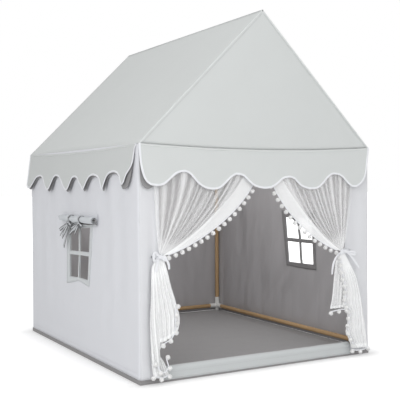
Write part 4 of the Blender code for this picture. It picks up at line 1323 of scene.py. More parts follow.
@dataclass
class Walls(Part):
    """The side walls, the back wall, the front panels and the sill."""

    fold: float = 0.005
    fold_pitch: float = 0.152
    crease: float = 0.010
    row_height: float = 0.040

    def build(self) -> None:
        """Builds every wall, panel and the sill."""
        for side in Side:
            self.side_wall(side)
            self.front_panel(side)
        self.back_wall()
        self.sill()

    def puff(self, height: Array) -> Array:
        """Returns how far a wall stands out just above its hem."""
        low = (height - self.sizes.hem) / 0.075
        return 0.0035 * bump(np.clip(low, 0, 1) ** 0.6)

    def creases(self, along: Array, height: Array, seed: int) -> Array:
        """Returns slanting creases on a wall, as shares from about -1 to 1."""
        across, down = along * 0.9 + height * 0.45, height * 0.9 - along * 0.45
        return wander(stack(across, 0, down * 0.2), 0.055, seed)

    def waves(self, along: Array, half: float) -> tuple[Array, Array]:
        """Returns the wall's upright folds, and how free it hangs beside its corners."""
        near = np.clip((half - np.abs(along)) / self.fold_pitch, 0, 1)
        return (1 - np.cos(math.tau * along / self.fold_pitch)) / 2, near

    def wall(
        self, sheet: Sheet, outward: Point, width: float, opening: float, end: str, reach: float
    ) -> None:
        """Hangs a wall and sews its hem.

        Args:
            sheet: The wall's sheet.
            outward: The way that it looks.
            width: Its flat width; not used.
            opening: The area of its window; not used.
            end: Its side's name, as its solid and its rail have it.
            reach: How far its row of stitches reaches from its middle.
        """
        sizes = self.sizes
        cloth = self.cloth(sheet, ("wall_cotton", "inner_cotton"), outward)
        hang(cloth, "tent", "cover_white", f"wall_{end}")
        if outward[0]:
            out = outward[0] * (sizes.half_width + 0.0038)
            ends = [(out, -reach, self.row_height), (out, reach, self.row_height)]
        else:
            out = sizes.half_depth + 0.0038
            ends = [(-reach, out, self.row_height), (reach, out, self.row_height)]
        name = sheet.name.replace("_wall", "_wall_stitches")
        self.stitch(name, [Path.along(ends, outward, STRAIGHT_STEP)], ("tent", "cover_white"))

    def side_wall(self, side: Side) -> None:
        """Builds a side wall with its window opening."""
        sizes, window = self.sizes, WINDOWS[side]
        trim = 0.004
        low_y, high_y = window.span[0] - trim, window.span[1] + trim
        low_z, high_z = window.rise[0] - trim, window.rise[1] + trim
        end = sizes.wall_end(sizes.half_depth)
        y = stops_between(-end, end, 0.011, [low_y, high_y])[None, :]
        z = stops_between(sizes.hem, sizes.wall_top, 0.012, [low_z, high_z])[:, None]
        rise = (z - sizes.hem) / (sizes.wall_top - sizes.hem)
        aside = y - window.centre + window.flap_shift
        calm = np.clip((np.abs(aside) - 0.20) / self.fold_pitch, 0, 1)
        waves, near = self.waves(y, sizes.half_depth)
        base = stack(0 * y, y, z)
        quiet = 1 - np.exp(-(((y - window.centre) / 0.16) ** 2) - ((z - 0.43) / 0.17) ** 2)
        free = near * quiet * np.clip(6 * rise * (1 - rise), 0, 1)
        soft = 0.0026 * wander(base * [1, 1, 0.35], 0.13, 21) + 0.0012 * wander(base, 0.06, 22)
        out = self.fold * waves * near * calm * bump(rise) + free * soft
        apart = 1 - np.exp(-((aside / 0.24) ** 4) - ((z - 0.46) / 0.20) ** 4)
        creased = self.crease * (0.12 if side is Side.LEFT else apart)
        out = out + free * creased * (0.4 + self.creases(y, z, 23))
        out = np.maximum(out, -0.0008) + self.puff(z) * near
        x = sizes.half_width + out - sizes.corner_round(sizes.half_depth - np.abs(y))
        points = stack(side.sign * x, *window.moved(y, z))
        mid_y, mid_z = (y[:, 1:] + y[:, :-1]) / 2, (z[1:] + z[:-1]) / 2
        holes = (mid_y > low_y) & (mid_y < high_y) & (mid_z > low_z) & (mid_z < high_z)
        sheet = Sheet(f"side_wall_{side.value}", points, paired(y, z), holes)
        self.wall(sheet, (side.sign, 0, 0), 2 * sizes.half_depth, window.size**2, side.value, 0.585)

    def back_wall(self) -> None:
        """Builds the back wall, which hangs in soft folds."""
        sizes = self.sizes
        end = sizes.wall_end(sizes.half_width)
        x = stops_between(-end, end, 0.011, [])[None, :]
        z = stops_between(sizes.hem, sizes.wall_top, 0.013, [])[:, None]
        rise = (z - sizes.hem) / (sizes.wall_top - sizes.hem)
        waves, near = self.waves(x, sizes.half_width)
        free = near * np.clip(6 * rise * (1 - rise), 0, 1)
        soft = wander(stack(x, 0 * x, z) * [1, 1, 0.4], 0.12, 31)
        out = self.fold * waves * near * bump(rise) + free * 0.0024 * soft
        out = out + free * self.crease * (0.4 + self.creases(x, z, 32))
        out = np.maximum(out, -0.0008) + self.puff(z) * near
        y = sizes.half_depth + out - sizes.corner_round(sizes.half_width - np.abs(x))
        sheet = Sheet("back_wall", stack(x, y, z), paired(x, z))
        self.wall(sheet, (0, 1, 0), 2 * sizes.half_width, 0.0, "back", 0.50)

    def panel_edge(self, side: Side, height: Array) -> Array:
        """Returns how far from the middle a front panel's free edge lies at a height."""
        strip = STRIPS[side]
        return strip.edge - strip.pull * bump((height - strip.low) / (strip.knot - strip.low) / 2)

    def front_panel(self, side: Side) -> None:
        """Builds the strip of cloth beside the doorway."""
        sizes = self.sizes
        u = shares_across(33)
        v = shares_down(91)
        corner = sizes.wall_end(sizes.half_width)
        edge_x = STRIPS[side].edge
        top = np.minimum(sizes.front_seam(mix(corner, edge_x, u)) - sizes.gap, sizes.wall_top)
        z = mix(sizes.hem, top, v)
        inner = self.panel_edge(side, z)
        x = mix(corner, inner, u)
        post_x = 0.4977
        free = np.clip((post_x - x) / (post_x - inner), 0, 1)
        back = 0.004 * bump(free) * bump(v)
        ripples = 0.0022 * free * wander(stack(x, 0 * x, z) * [1, 1, 0.25], 0.045, 41 + side.sign)
        y = -sizes.half_depth + back + ripples * bump(v) ** 0.5
        y = y + sizes.corner_round(sizes.half_width - x) - 0.5 * self.puff(z)
        sheet = Sheet(f"front_strip_{side.value}", stack(side.sign * x, y, z), paired(x, z))
        cloth = self.cloth(sheet, ("panel_cotton", "inner_cotton"), (0, -1, 0))
        hang(cloth, "tent", "cover_white", f"front_panel_{side.value}")
        heights = np.linspace(sizes.hem + 0.002, sizes.eave - 0.02, 60)
        across = side.sign * (self.panel_edge(side, heights) + 0.007)
        row = Path.along(stack(across, -sizes.half_depth - 0.0004, heights), (0, -1, 0), 0.02)
        self.stitch(f"front_strip_stitches_{side.value}", [row], ("tent", "cover_white"))

    def sill(self) -> None:
        """Builds the band across the doorway, folded over the front base rail."""
        hub, post_y, top, bottom, back = 0.042, 0.5952, 0.0555, 0.007, 0.022
        low_x, high_x = -0.4467, 0.4267
        front = self.sizes.half_depth + 0.0013
        x = np.linspace(low_x, high_x, 101)[None, :]
        v = shares_down(41)
        turn = np.pi * np.clip((v - 0.25) / 0.55, 0, 1)
        y = -post_y - (front - post_y) * np.cos(turn)
        z = hub + (top - 0.001 - hub) * np.sin(turn)
        z = np.where(v < 0.25, mix(bottom, hub, v / 0.25), z)
        z = np.where(v > 0.80, mix(hub, back, (v - 0.80) / 0.20), z)
        soft = 0.0009 * wander(stack(x, 0 * x, z) * [1, 1, 0.5], 0.10, 51)
        y = y + soft * np.cos(turn) * -1
        z = z + soft * np.sin(turn)
        sheet = Sheet("sill_band", stack(x, y, z), paired(x, v * (0.035 + 0.046 + 0.020)))
        cloth = self.cloth(sheet, ("sill_cotton", "inner_cotton"), (0, -1, 0), 0.0014)
        hang(cloth, "tent", "cover_grey", "door_sill")
        out = -front - 0.0004
        rows = [
            Path.along([(-0.44, out, height), (0.42, out, height)], (0, -1, 0), STRAIGHT_STEP)
            for height in (0.012, 0.034)
        ]
        self.stitch("sill_stitches", rows, ("tent", "cover_grey"), "grey_thread")


# Windows


@dataclass
class Window(Part):
    """A side window: its taped frame, and the flap rolled up above it."""

    side: Side
    roll_radius: float = 0.0150
    roll_height: float = 0.567
    roll_x: float = 0.5439
    seam_height: float = 0.591
    flap_width: float = 0.385
    turns: float = 2.4

    @property
    def middle(self) -> float:
        """The middle of the flap along the wall."""
        window = WINDOWS[self.side]
        return window.centre - window.flap_shift

    @property
    def out(self) -> Point:
        """The way that the window looks."""
        return (self.side.sign, 0, 0)

    @property
    def on_flap(self) -> tuple[str, str]:
        """The body and slot of the flap's white pieces."""
        return f"{self.side.value}_flap", "cover_white"

    def build(self) -> None:
        """Builds the frame, the flap, its roll and its ties."""
        self.frame()
        self.roll()
        self.loose_edge_with_painted_shade()
        self.short_run()
        self.ties()

    def place(self, x: Array, y: Array, z: Array) -> Array:
        """Returns points on this window's side of the tent."""
        return stack(self.side.sign * np.asarray(x, float), y, z)

    def across(self, count: int, high: float | None = None) -> Array:
        """Returns places along the flap, up to its end or another place from its middle."""
        reach = self.flap_width / 2
        end = reach if high is None else high
        return np.linspace(self.middle - reach, self.middle + end, count)

    def frame(self) -> None:
        """Builds the taped border and cross with a little waviness."""
        window, side, wall = WINDOWS[self.side], self.side.value, self.sizes.half_width
        (low_y, high_y), (low_z, high_z) = window.span, window.rise
        middle_y, middle_z = window.centre, (low_z + high_z) / 2
        bars_y = [middle_y - window.upright / 2, middle_y + window.upright / 2]
        bars_z = [middle_z - window.cross / 2, middle_z + window.cross / 2]
        y, z = (
            stops_between(low - window.border, high + window.border, 0.0065, [low, *bars, high])
            for low, high, bars in ((low_y, high_y, bars_y), (low_z, high_z, bars_z))
        )
        y, z = y[None, :], z[:, None]
        mid_y, mid_z = (y[:, 1:] + y[:, :-1]) / 2, (z[1:] + z[:-1]) / 2
        open_y = ((mid_y > low_y) & (mid_y < bars_y[0])) | ((mid_y > bars_y[1]) & (mid_y < high_y))
        open_z = ((mid_z > low_z) & (mid_z < bars_z[0])) | ((mid_z > bars_z[1]) & (mid_z < high_z))
        base = stack(0 * y, y, z)
        outer_y, outer_z = (
            np.clip((np.abs(spots - centre) - window.size / 2) / window.border, 0, 1)
            for spots, centre in ((y, middle_y), (z, middle_z))
        )
        sway = 0.0018 * wander(base, 0.06, 61)
        bent = 0.0018 * np.sin(z * 40) * np.exp(-(((y - middle_y) / 0.02) ** 2))
        moved_y, moved_z = window.moved(y, z)
        moved_y, moved_z = moved_y + sway * outer_y + bent, moved_z + sway * (0.3 + 0.7 * outer_z)
        lift = 0.0012 + 0.0004 * bump((z - low_z + window.border) / (2 * window.border))
        front = wall + 0.0003 + lift + 0.0004 * (1 + wander(base, 0.05, 62))
        behind = wall - self.sizes.cloth - 0.0008 - 0.0003 * (1 + wander(base, 0.05, 63))
        for label, x, thickness, nodes in (
            ("border", front, 0.0012, [f"window_frame_{side}"]),
            ("facing", behind, 0.0010, []),
        ):
            points = self.place(x, moved_y, moved_z)
            sheet = Sheet(f"window_{label}_{side}", points, paired(y, z), open_y & open_z)
            cloth = self.cloth(sheet, ("window_tape", "inner_window_tape"), self.out, thickness)
            hang(cloth, "tent", "tape_grey", *nodes)
        rows = []
        for grow in (0.004, window.border - 0.004):
            a, b, c, d = low_y - grow, high_y + grow, low_z - grow, high_z + grow
            out = self.side.sign * (wall + 0.0027)
            loop = np.array([(out, a, c), (out, b, c), (out, b, d), (out, a, d), (out, a, c)])
            line = even_steps(loop, 0.006)
            line[:, 1], line[:, 2] = window.moved(line[:, 1], line[:, 2])
            rows.append(Path.along(line, self.out))
        self.stitch(f"window_stitches_{side}", rows, ("tent", "tape_grey"))

    def pinch(self, y: Array) -> Array:
        """Returns how tightly the ties hold the roll at a place, from 0 to 1."""
        hold = 0 * y
        for tie in FLAP_TIES:
            hold = np.maximum(hold, np.exp(-(((y - self.middle - tie) / 0.016) ** 2)))
        return hold

    def roll(self) -> None:
        """Builds the rolled flap: an open spiral at its ends, drawn in at its ties."""
        u = shares_across(97)
        y = self.across(121)[:, None]
        turn = math.tau * self.turns * u
        crumple = ease((y - self.middle + 0.06) / 0.12)
        radius = self.roll_radius * (1 - 0.62 * u)
        radius = radius * (1 - 0.16 * self.pinch(y))
        ring = stack(np.cos(turn) * 0.02, y, np.sin(turn) * 0.02)
        rough = wander(ring, 0.016, 71) + 0.5 * wander(ring, 0.008, 73)
        radius = radius * (1 - 0.30 * ease((y - self.middle - 0.115) / 0.075))
        radius = radius + (0.0007 + 0.0042 * crumple) * rough * (1 - 0.5 * u)
        radius = np.minimum(radius, self.roll_radius)
        sway = wander(stack(0 * y, y, 0 * y), 0.04, 72)
        z = self.roll_height - radius * np.sin(turn) + 0.002 * crumple * sway
        x = self.roll_x - radius * np.cos(turn)
        length = self.roll_radius * 0.69 * math.tau * self.turns
        sheet = Sheet(f"flap_cloth_{self.side.value}", self.place(x, y, z), paired(y, u * length))
        made = self.cloth(sheet, ("flap_cotton", "inner_cotton"), None, 0.0010)
        first = made.data.polygons[0]
        axis = Vector((self.side.sign * self.roll_x, first.center.y, self.roll_height))
        if first.normal.dot(first.center - axis) < 0:
            made.data.flip_normals()
        hang(made, *self.on_flap, f"flap_roll_{self.side.value}")

    def loose_edge_with_painted_shade(self) -> None:
        """Builds the flap's free edge, which has slipped out below the front of its roll; its dark
        tape, darker than the flap's lining, also paints the shade under the roll.
        """
        side, reach = self.side.value, 0.070
        y = self.across(81, reach)[None, :]
        v = shares_down(9)
        share = (y - y.min()) / (y.max() - y.min())
        sway = wander(stack(0 * y, y, 0 * y), 0.03, 83)
        drop = 0.011 * bump(0.14 + 0.70 * share**0.7) ** 0.5 + 0.002 * sway
        z = self.roll_height - self.roll_radius * 0.72 - (drop + 0.001) * v
        x = self.roll_x - 0.0085 - 0.0015 * np.sin(np.pi * v)
        points = self.place(x, y, z)
        sheet = Sheet(f"flap_edge_{side}", points, paired(y, v * 0.012))
        # Painted shade: the dark inner tape stands in for the shade between the roll and this edge.
        made = self.cloth(sheet, ("inner_window_tape",), self.out, 0.0010)
        hang(made, *self.on_flap)
        hem = Path.facing(points[-1] + [self.side.sign * 0.0006, 0, 0], self.out)
        self.tape(f"flap_hem_{side}", [hem], "window_tape", (0.0042, 0.0012), self.on_flap)

    def short_run(self) -> None:
        """Builds the run of cloth from the flap's seam, over the frame, down to the roll."""
        side, sign, wall = self.side.value, self.side.sign, self.sizes.half_width
        y = self.across(97)[None, :]
        v = shares_down(13)
        z = mix(self.seam_height, self.roll_height - 0.002, v**1.3)
        x = wall + mix(0.0009, 0.0043, ease(v / 0.15)) + 0.0008 * ease((v - 0.45) / 0.5)
        x = x + 0.0002 * wander(stack(0 * y, y, z), 0.03, 81) * bump(v)
        sheet = Sheet(f"flap_top_{side}", self.place(x, y, z), paired(y, v * 0.034))
        made = self.cloth(sheet, ("wall_cotton",), self.out, 0.0005)
        keep_shape(made)
        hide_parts(f"flap_sheet_{side}")
        start = (sign * wall, self.middle, self.seam_height - 0.002)
        end = (sign * wall, self.middle, self.roll_height + 0.002)
        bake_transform(made)
        LOG.info("%s bends from the wall to its roll", made.name)
        seam_x, seam_z = sign * (wall + 0.0022), self.seam_height - 0.003
        ends = [(seam_x, self.middle + part * 0.188, seam_z) for part in (-1, 1)]
        row = Path.along(ends, self.out, STRAIGHT_STEP)
        self.stitch(f"flap_stitches_{side}", [row], ("tent", "cover_white"))

    def ties(self) -> None:
        """Builds the ribbons round the roll and their hanging ends, each over a wider dark tape
        that paints its shadow.
        """
        side = self.side.value
        paths: list[Path] = []
        turn = np.linspace(-2.2, 2.2, 29)
        radius = self.roll_radius * 0.86 + 0.0016
        faces = unit(self.place(np.cos(turn), 0 * turn, np.sin(turn)))
        x = self.roll_x + radius * np.cos(turn)
        z = self.roll_height + radius * np.sin(turn)
        for tie in FLAP_TIES:
            for lean in (-0.003, 0.003):
                paths.append(Path(self.place(x, self.middle + tie + lean * np.sin(turn), z), faces))
        shorter = 1.0 if self.side is Side.LEFT else 0.35
        for tie, tails in FLAP_TIES.items():
            start = self.middle + tie
            for index, (run, drop, swing) in enumerate(tails):
                paths.append(self.tail(start, run * shorter, drop * shorter, swing, index))
        # Painted shadow: a wider near black tape just under each ribbon, seen as dark edges.
        shift = np.array([self.side.sign * 0.0009, 0, 0])
        under = [Path(path.points - shift, path.faces) for path in paths]
        on = (f"{side}_flap", "tape_grey")
        self.tape(f"flap_edges_{side}", under, "tie_ribbon_edge", (0.0125, 0.0009), on)
        on = (*on, f"flap_ties_{side}")
        self.tape(f"flap_ribbons_{side}", paths, "tie_ribbon", (0.0062, 0.0009), on)

    def tail(self, start: float, run: float, drop: float, swing: float, index: int) -> Path:
        """One hanging end of a tie.

        Args:
            start: The tie's place along the wall.
            run: How far the end reaches along the wall.
            drop: How far it falls.
            swing: How much it bows out on its way.
            index: Its number on this tie.

        Returns:
            The path of the ribbon.
        """
        t = np.linspace(0, 1, 22)
        y = start + run * t
        z = self.roll_height - self.roll_radius * 0.9 - drop * t ** (0.96 + 0.03 * index)
        x = self.roll_x + 0.003 + 0.0016 * swing * np.sin(np.pi * t) - 0.002 * t + 0.0014 * index
        twist = 0.3 * np.sin(1.3 * np.pi * t + index)
        faces = unit(self.place(np.cos(twist), 0 * t, np.sin(twist)))
        return Path(self.place(x, y, z), faces)


# Curtains


@dataclass(frozen=True)
class NetLayer:
    """One layer of a tail.

    outside and inside hold pairs of a share of the fall and how far that edge is from the
    knot. hem holds pairs of a share of the width from the outer edge and a height.
    """

    folds: int
    depth: float
    outside: Knots
    inside: Knots
    hem: Knots


@dataclass(frozen=True)
class CurtainPlace:
    """Where a curtain hangs and is tied, as distances from the tent's middle, in metres.

    bands holds the folds of the swag: each one's place, width and strength. rows holds the
    lines of the tail's pom-poms, as X and Z, each with the side that they hang to.
    """

    knot_x: float
    knot_z: float
    outer: float
    strap: float
    bands: tuple[tuple[float, float, float], ...]
    layers: tuple[NetLayer, NetLayer]
    rows: tuple[tuple[int, Knots], ...]
    loops: tuple[tuple[int, float, float, float], ...]
    ends: tuple[tuple[int, float, float, float, float], ...]


LEFT_OUTSIDE = (
    (0, 0.009), (0.04, 0.022), (0.08, 0.031), (0.34, 0.037), (0.54, 0.042), (0.77, 0.039),
    (0.91, 0.035), (1, 0.029),
)
RIGHT_OUTSIDE = (
    (0, 0.009), (0.126, 0.0327), (0.247, 0.060), (0.35, 0.0725), (0.4855, 0.085), (0.66, 0.096),
    (0.86, 0.109), (1, 0.117),
)
CURTAINS = {
    Side.LEFT: CurtainPlace(
        knot_x=0.453,
        knot_z=0.451,
        outer=0.472,
        strap=0.026,
        bands=(
            (0.02, 0.02, 0.25), (0.105, 0.03, 0.45), (0.20, 0.018, 0.25), (0.295, 0.03, 0.60),
            (0.40, 0.03, 0.45), (0.47, 0.006, 0.6), (0.52, 0.02, 0.3), (0.60, 0.03, 0.3),
            (0.655, 0.008, 0.5), (0.72, 0.02, 0.35), (0.775, 0.007, 0.7), (0.83, 0.025, 0.45),
        ),
        layers=(
            NetLayer(
                7, 0.0, LEFT_OUTSIDE,
                ((0, 0.009), (0.035, 0.0195), (0.24, 0.044), (0.41, 0.066), (0.52, 0.077),
                 (1, 0.077)),
                ((0, 0.026), (0.26, 0.026), (0.31, 0.150), (0.45, 0.150), (0.62, 0.158),
                 (0.80, 0.172), (0.92, 0.187), (1, 0.213)),
            ),
            NetLayer(
                5, -0.004, LEFT_OUTSIDE,
                ((0, 0.008), (0.20, 0.020), (0.50, 0.020), (0.70, 0.012), (0.80, -0.006),
                 (0.865, 0.010), (0.93, 0.021), (1, 0.030)),
                ((0, 0.026), (1, 0.026)),
            ),
        ),
        rows=(
            (1, ((0.386, 0.272), (0.3925, 0.240), (0.3900, 0.205), (0.3955, 0.175), (0.409, 0.156),
                 (0.4257, 0.1455), (0.447, 0.137))),
            (-1, ((0.480, 0.075), (0.470, 0.050), (0.452, 0.035), (0.434, 0.040), (0.420, 0.060),
                 (0.430, 0.095))),
            (-1, ((0.488, 0.028), (0.466, 0.020), (0.445, 0.019), (0.424, 0.026))),
        ),
        loops=((1, 0.029, 0.030, 0.10), (-1, 0.020, 0.012, -0.35)),
        ends=((1, 0.014, 0.052, 1.8, 1.6), (-1, 0.030, 0.045, 1.8, 1.6)),
    ),
    Side.RIGHT: CurtainPlace(
        knot_x=0.381,
        knot_z=0.432,
        outer=0.440,
        strap=0.044,
        bands=(
            (0.05, 0.02, 0.2), (0.10, 0.02, 0.5), (0.17, 0.02, 0.55), (0.225, 0.01, 0.3),
            (0.29, 0.025, 0.55), (0.36, 0.012, 0.4), (0.43, 0.02, 0.4), (0.50, 0.008, 0.6),
            (0.55, 0.008, 0.55), (0.62, 0.015, 0.4), (0.70, 0.012, 0.35), (0.76, 0.01, 0.5),
            (0.83, 0.03, 0.5),
        ),
        layers=(
            NetLayer(
                6, 0.0, RIGHT_OUTSIDE,
                ((0, 0.009), (0.04, 0.024), (0.165, 0.0215), (0.235, 0.0155), (0.313, 0.0077),
                 (0.391, 0.001), (0.48, 0.007), (0.534, 0.005), (0.60, -0.012), (0.70, -0.014),
                 (0.80, -0.004), (0.858, -0.014), (0.964, -0.030), (1, -0.034)),
                ((0, 0.030), (1, 0.034)),
            ),
            NetLayer(
                5, -0.006, ((0, 0.008), (0.30, 0.020), (1, 0.020)),
                ((0, 0.009), (0.03, 0.024), (0.116, 0.042), (0.23, 0.048), (0.457, 0.060),
                 (0.56, 0.070), (1, 0.075)),
                ((0, 0.203), (1, 0.203)),
            ),
        ),
        rows=(
            (1, ((0.3540, 0.405), (0.3557, 0.3916), (0.3576, 0.3620), (0.3635, 0.3336),
                 (0.3713, 0.3020), (0.3782, 0.2702), (0.3730, 0.2397), (0.3750, 0.2126),
                 (0.3930, 0.1948), (0.3970, 0.1717), (0.3900, 0.1450), (0.3864, 0.1157),
                 (0.3900, 0.0960), (0.4020, 0.0730), (0.4150, 0.0450))),
            (1, ((0.4120, 0.0240), (0.4320, 0.0190), (0.4550, 0.0180), (0.4780, 0.0190),
                 (0.4960, 0.0250))),
            (1, ((0.3042, 0.187), (0.3323, 0.190), (0.3607, 0.193), (0.3850, 0.190))),
        ),
        loops=((1, 0.053, 0.011, -0.22), (-1, 0.022, 0.014, -0.15)),
        ends=((1, 0.072, 0.072, 1.0, 1.2), (-1, 0.064, 0.090, 2.2, 1.7)),
    ),
}


@dataclass
class Curtain(Part):
    """A net curtain: its swag, its tail, its tie and its pom-pom trims."""

    side: Side
    knot_radius: float = 0.0115
    net: float = 0.0006
    pom_radius: float = 0.0084
    pom_hang: float = 0.0112
    tail_hang: float = 0.0066
    pom_pitch: float = 0.0285
    tufts: float = 160000.0
    band: float = 0.10
    flat: tuple[float, float] = (0.62, 0.52)
    tail_gather: dict[str, float] = field(default_factory=lambda: {"front": 0.62, "back": 0.35})

    @property
    def at(self) -> CurtainPlace:
        """This curtain's place."""
        return CURTAINS[self.side]

    @property
    def knot_depth(self) -> float:
        """How far in front of the middle the knot is."""
        return self.sizes.half_depth + 0.0118

    @property
    def centre(self) -> Array:
        """The middle of the knot's wraps."""
        return np.array([self.side.sign * self.at.knot_x, -self.knot_depth, self.at.knot_z])

    def build(self) -> None:
        """Builds the curtain's nets, tie and trims."""
        self.swag()
        self.tail()
        self.tie()
        self.trims()

    def swag_surface(self, u: Array, v: Array) -> Array:
        """Points of the swag: u from its outer to its inner edge, v from the seam to the knot."""
        at = self.at
        top_x = mix(at.outer, 0.004, u)
        top_z = self.sizes.front_seam(top_x) - self.sizes.gap
        reach = self.knot_radius * 0.75
        angle = mix(math.pi / 2, math.radians(4), u)
        end_x = at.knot_x - reach * np.cos(angle)
        end_z = at.knot_z + reach * np.sin(angle)
        across = 1 - v ** (1 + 0.75 * u + 1.4 * (1 - u) ** 4)
        up = (1 - v) ** (1 + 0.27 * u)
        ripple = 0.15 + 1.2 * self.folds(u, 0.015)
        swing = 0.010 * bump(v**0.8) * np.minimum(ripple, 1.0)
        depth = mix(self.sizes.half_depth + 0.0008, self.knot_depth, v) + swing
        x = mix(end_x, top_x, across) * self.side.sign
        return stack(x, -depth, mix(end_z, top_z, up))

    def folds(self, u: Array, soft: float = 0.0) -> Array:
        """How gathered the swag is at a share from its outer to its inner edge.

        Args:
            u: The shares.
            soft: How much wider and weaker the folds are taken.

        Returns:
            The sum of the folds' strengths there.
        """
        total = 0 * u
        for place, width, strength in self.at.bands:
            wide = width + soft
            total = total + strength * width / wide * np.exp(-(((u - place) / wide) ** 2))
        return total

    def swag_gather(self, u: Array, v: Array) -> Array:
        """How much denser the net is at each point of the swag, from 0 to 1."""
        bend = 0.012 * wander(stack(u * 0.5, 0 * u, v * 0.5), 0.12, 97)
        near_knot = ease((v - 0.78) / 0.22)
        hem = ease((u - (1 - self.band - 0.16 * v)) / 0.02)
        total = 0.85 * self.folds(u + bend) * (1 - 0.5 * hem) + 0.42 * near_knot + 0.66 * hem
        return np.clip(total, 0, 0.94)

    def declare(self, made: Piece, points: Array, flat: tuple[float, float], *rails: str) -> None:
        """Takes a piece, its points, its flat size and the rails beside its tie, and does nothing
        with them.
        """

    def net_cloth(self, name: str, points: Array, flat: Array, gather: Array) -> Piece:
        """Returns a net whose cells are denser where it is gathered."""
        sheet = Sheet(f"{name}_{self.side.value}", points, flat, marks={"gather": gather})
        return self.cloth(sheet, ("curtain_net",), (0, -1, 0), self.net)

    def swag(self) -> None:
        """Builds the net from the front seam to the knot."""
        u = shares_across(161)
        v = shares_down(81)
        points, flat = self.swag_surface(u, v), paired(u * self.flat[0], v * self.flat[1])
        made = self.net_cloth("swag_net", points, flat, self.swag_gather(u, v))
        hang(made, "tent", "net_white", f"curtain_swag_{self.side.value}")
        self.declare(made, points, self.flat, "eave_rail_front")

    def tail_surface(self, layer: NetLayer, u: Array, v: Array) -> Array:
        """Points of a layer of the tail: u from outer to inner edge, v down from the knot."""
        at = self.at
        top = at.knot_z - self.knot_radius * 0.3
        z = mix(top, np.interp(u, *np.array(layer.hem).T), v)
        fall = np.clip((top - z) / (top - 0.024), 0, 1)
        spread = fall**0.55
        x = at.knot_x + mix(through(layer.outside, fall), -through(layer.inside, fall), u)
        phase = math.tau * layer.folds * u + 2.0 * np.sin(3 * u + 4 * fall)
        ripple = (0.0028 * np.sin(phase) + 0.0010 * np.sin(2.3 * phase + 1.3)) * spread
        lace = 0.0025 * wander(stack(x, 0 * x, z), 0.022, 91) * ease((fall - 0.55) / 0.4)
        y = self.knot_depth + 0.013 * spread + ripple + layer.depth * spread + lace
        return stack(x * self.side.sign, -y, z)

    def tail(self) -> None:
        """Builds the net below the knot, in two layers."""
        u = shares_across(97)
        v = shares_down(101)
        knot = tuple(self.centre)
        for label, layer in zip(("front", "back"), self.at.layers):
            points = self.tail_surface(layer, u, v)
            flat = (float(np.ptp(points[..., 0])) * 1.6, float(np.ptp(points[..., 2])))
            phase = math.tau * layer.folds * u + 2.0 * np.sin(3 * u + 4 * v)
            # lines makes the net denser along the fold crests: partly the net folding over itself,
            # partly a painted highlight on each crest.
            lines = np.clip(np.sin(phase + 0.6), 0, 1) ** 6
            edge = np.maximum(ease((u - 0.93) / 0.04), ease((v - 0.94) / 0.03))
            gather = self.tail_gather[label] + 0.40 * lines
            gather = gather + 0.55 * (1 - ease(v / 0.35)) + 0.35 * edge
            laid = paired(u * flat[0], v * flat[1])
            made = self.net_cloth(f"tail_net_{label}", points, laid, np.clip(gather, 0, 0.95))
            keep_shape(made)
            if label == "front":
                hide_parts(f"curtain_tail_{self.side.value}")
            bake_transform(made)
            self.declare(made, points, flat)
            LOG.info("%s bends at the knot", made.name)

    def tie(self) -> None:
        """Builds the ribbon that gathers the net: wraps, knot, bow, ends and strap."""
        at, sign, centre, front = self.at, self.side.sign, self.centre, -0.0110
        turn = np.linspace(0, math.tau * 0.995, 37)
        paths = []
        for height, lean in ((0.0034, 0.10), (-0.0034, -0.08)):
            rise = height + 0.004 * lean * 10 * np.cos(turn)
            ring = stack(0.0118 * np.cos(turn), 0.0105 * np.sin(turn), rise)
            paths.append(Path(centre + ring, stack(np.cos(turn), np.sin(turn), 0 * turn)))
        for side, reach, height, tilt in at.loops:
            t = np.linspace(0, 1, 33)
            loop_x = sign * side * reach * np.sin(np.pi * t) ** 0.7
            loop_z = -height / 2 * np.sin(math.tau * t) + tilt * np.abs(loop_x)
            loop_y = front - 0.0030 * np.sin(np.pi * t) - 0.0022 * t
            paths.append(Path.facing(centre + stack(loop_x, loop_y, loop_z), (0, -1, 0)))
        for side, run, drop, bend, fall in at.ends:
            t = np.linspace(0, 1, 25)
            end_x = sign * side * (0.003 + run * (1 - (1 - t) ** bend))
            line = centre + stack(end_x, front - 0.001 - 0.003 * np.sin(np.pi * t), -drop * t**fall)
            along = unit(np.gradient(line, axis=0))
            twist = 0.35 * np.sin(2.2 * np.pi * t)
            aside = np.sin(twist)[:, None] * np.cross(along, [0, 1, 0])
            faces = unit(stack(0 * t, -np.cos(twist), 0 * t) + aside)
            paths.append(Path(line, faces))
        t = np.linspace(0, 1, 17)
        for height in (0.0, 0.0045):
            x = sign * mix(at.knot_x + 0.008, at.knot_x + at.strap, t)
            y = -mix(self.knot_depth, self.sizes.half_depth + 0.0010, ease(t * 1.3))
            paths.append(Path.facing(stack(x, y, at.knot_z + height * (1 - t)), (0, -1, 0)))
        name = f"curtain_tie_{self.side.value}"
        on = ("tent", "net_white", name)
        self.tape(f"curtain_ribbon_{self.side.value}", paths, "white_tape", (0.0085, 0.0012), on)
        self.knot(centre + np.array([0, front + 0.001, 0]))

    def knot(self, centre: Array) -> None:
        """Builds the small knot in front of the wraps.

        Args:
            centre: The knot's middle.
        """
        turn = np.linspace(0, math.tau, 33)[None, :]
        lift = np.linspace(-math.pi / 2, math.pi / 2, 17)[:, None]
        around = stack(np.cos(lift) * np.cos(turn), np.cos(lift) * np.sin(turn), np.sin(lift))
        swell = 1 + 0.12 * wander(around * 0.006, 0.005, 95)
        creases = 1 + 0.06 * np.sin(5 * turn + 2 * lift)
        points = centre + around * (swell * creases)[..., None] * np.array([0.0068, 0.0042, 0.0060])
        mesh = new_mesh(f"curtain_knot_{self.side.value}", points, grid_quads(numbered(points)))
        tidy_mesh(mesh, closed=True)
        hang(add_object(mesh.name, mesh, [self.sewing.finishes["white_tape"]]), "tent", "net_white")

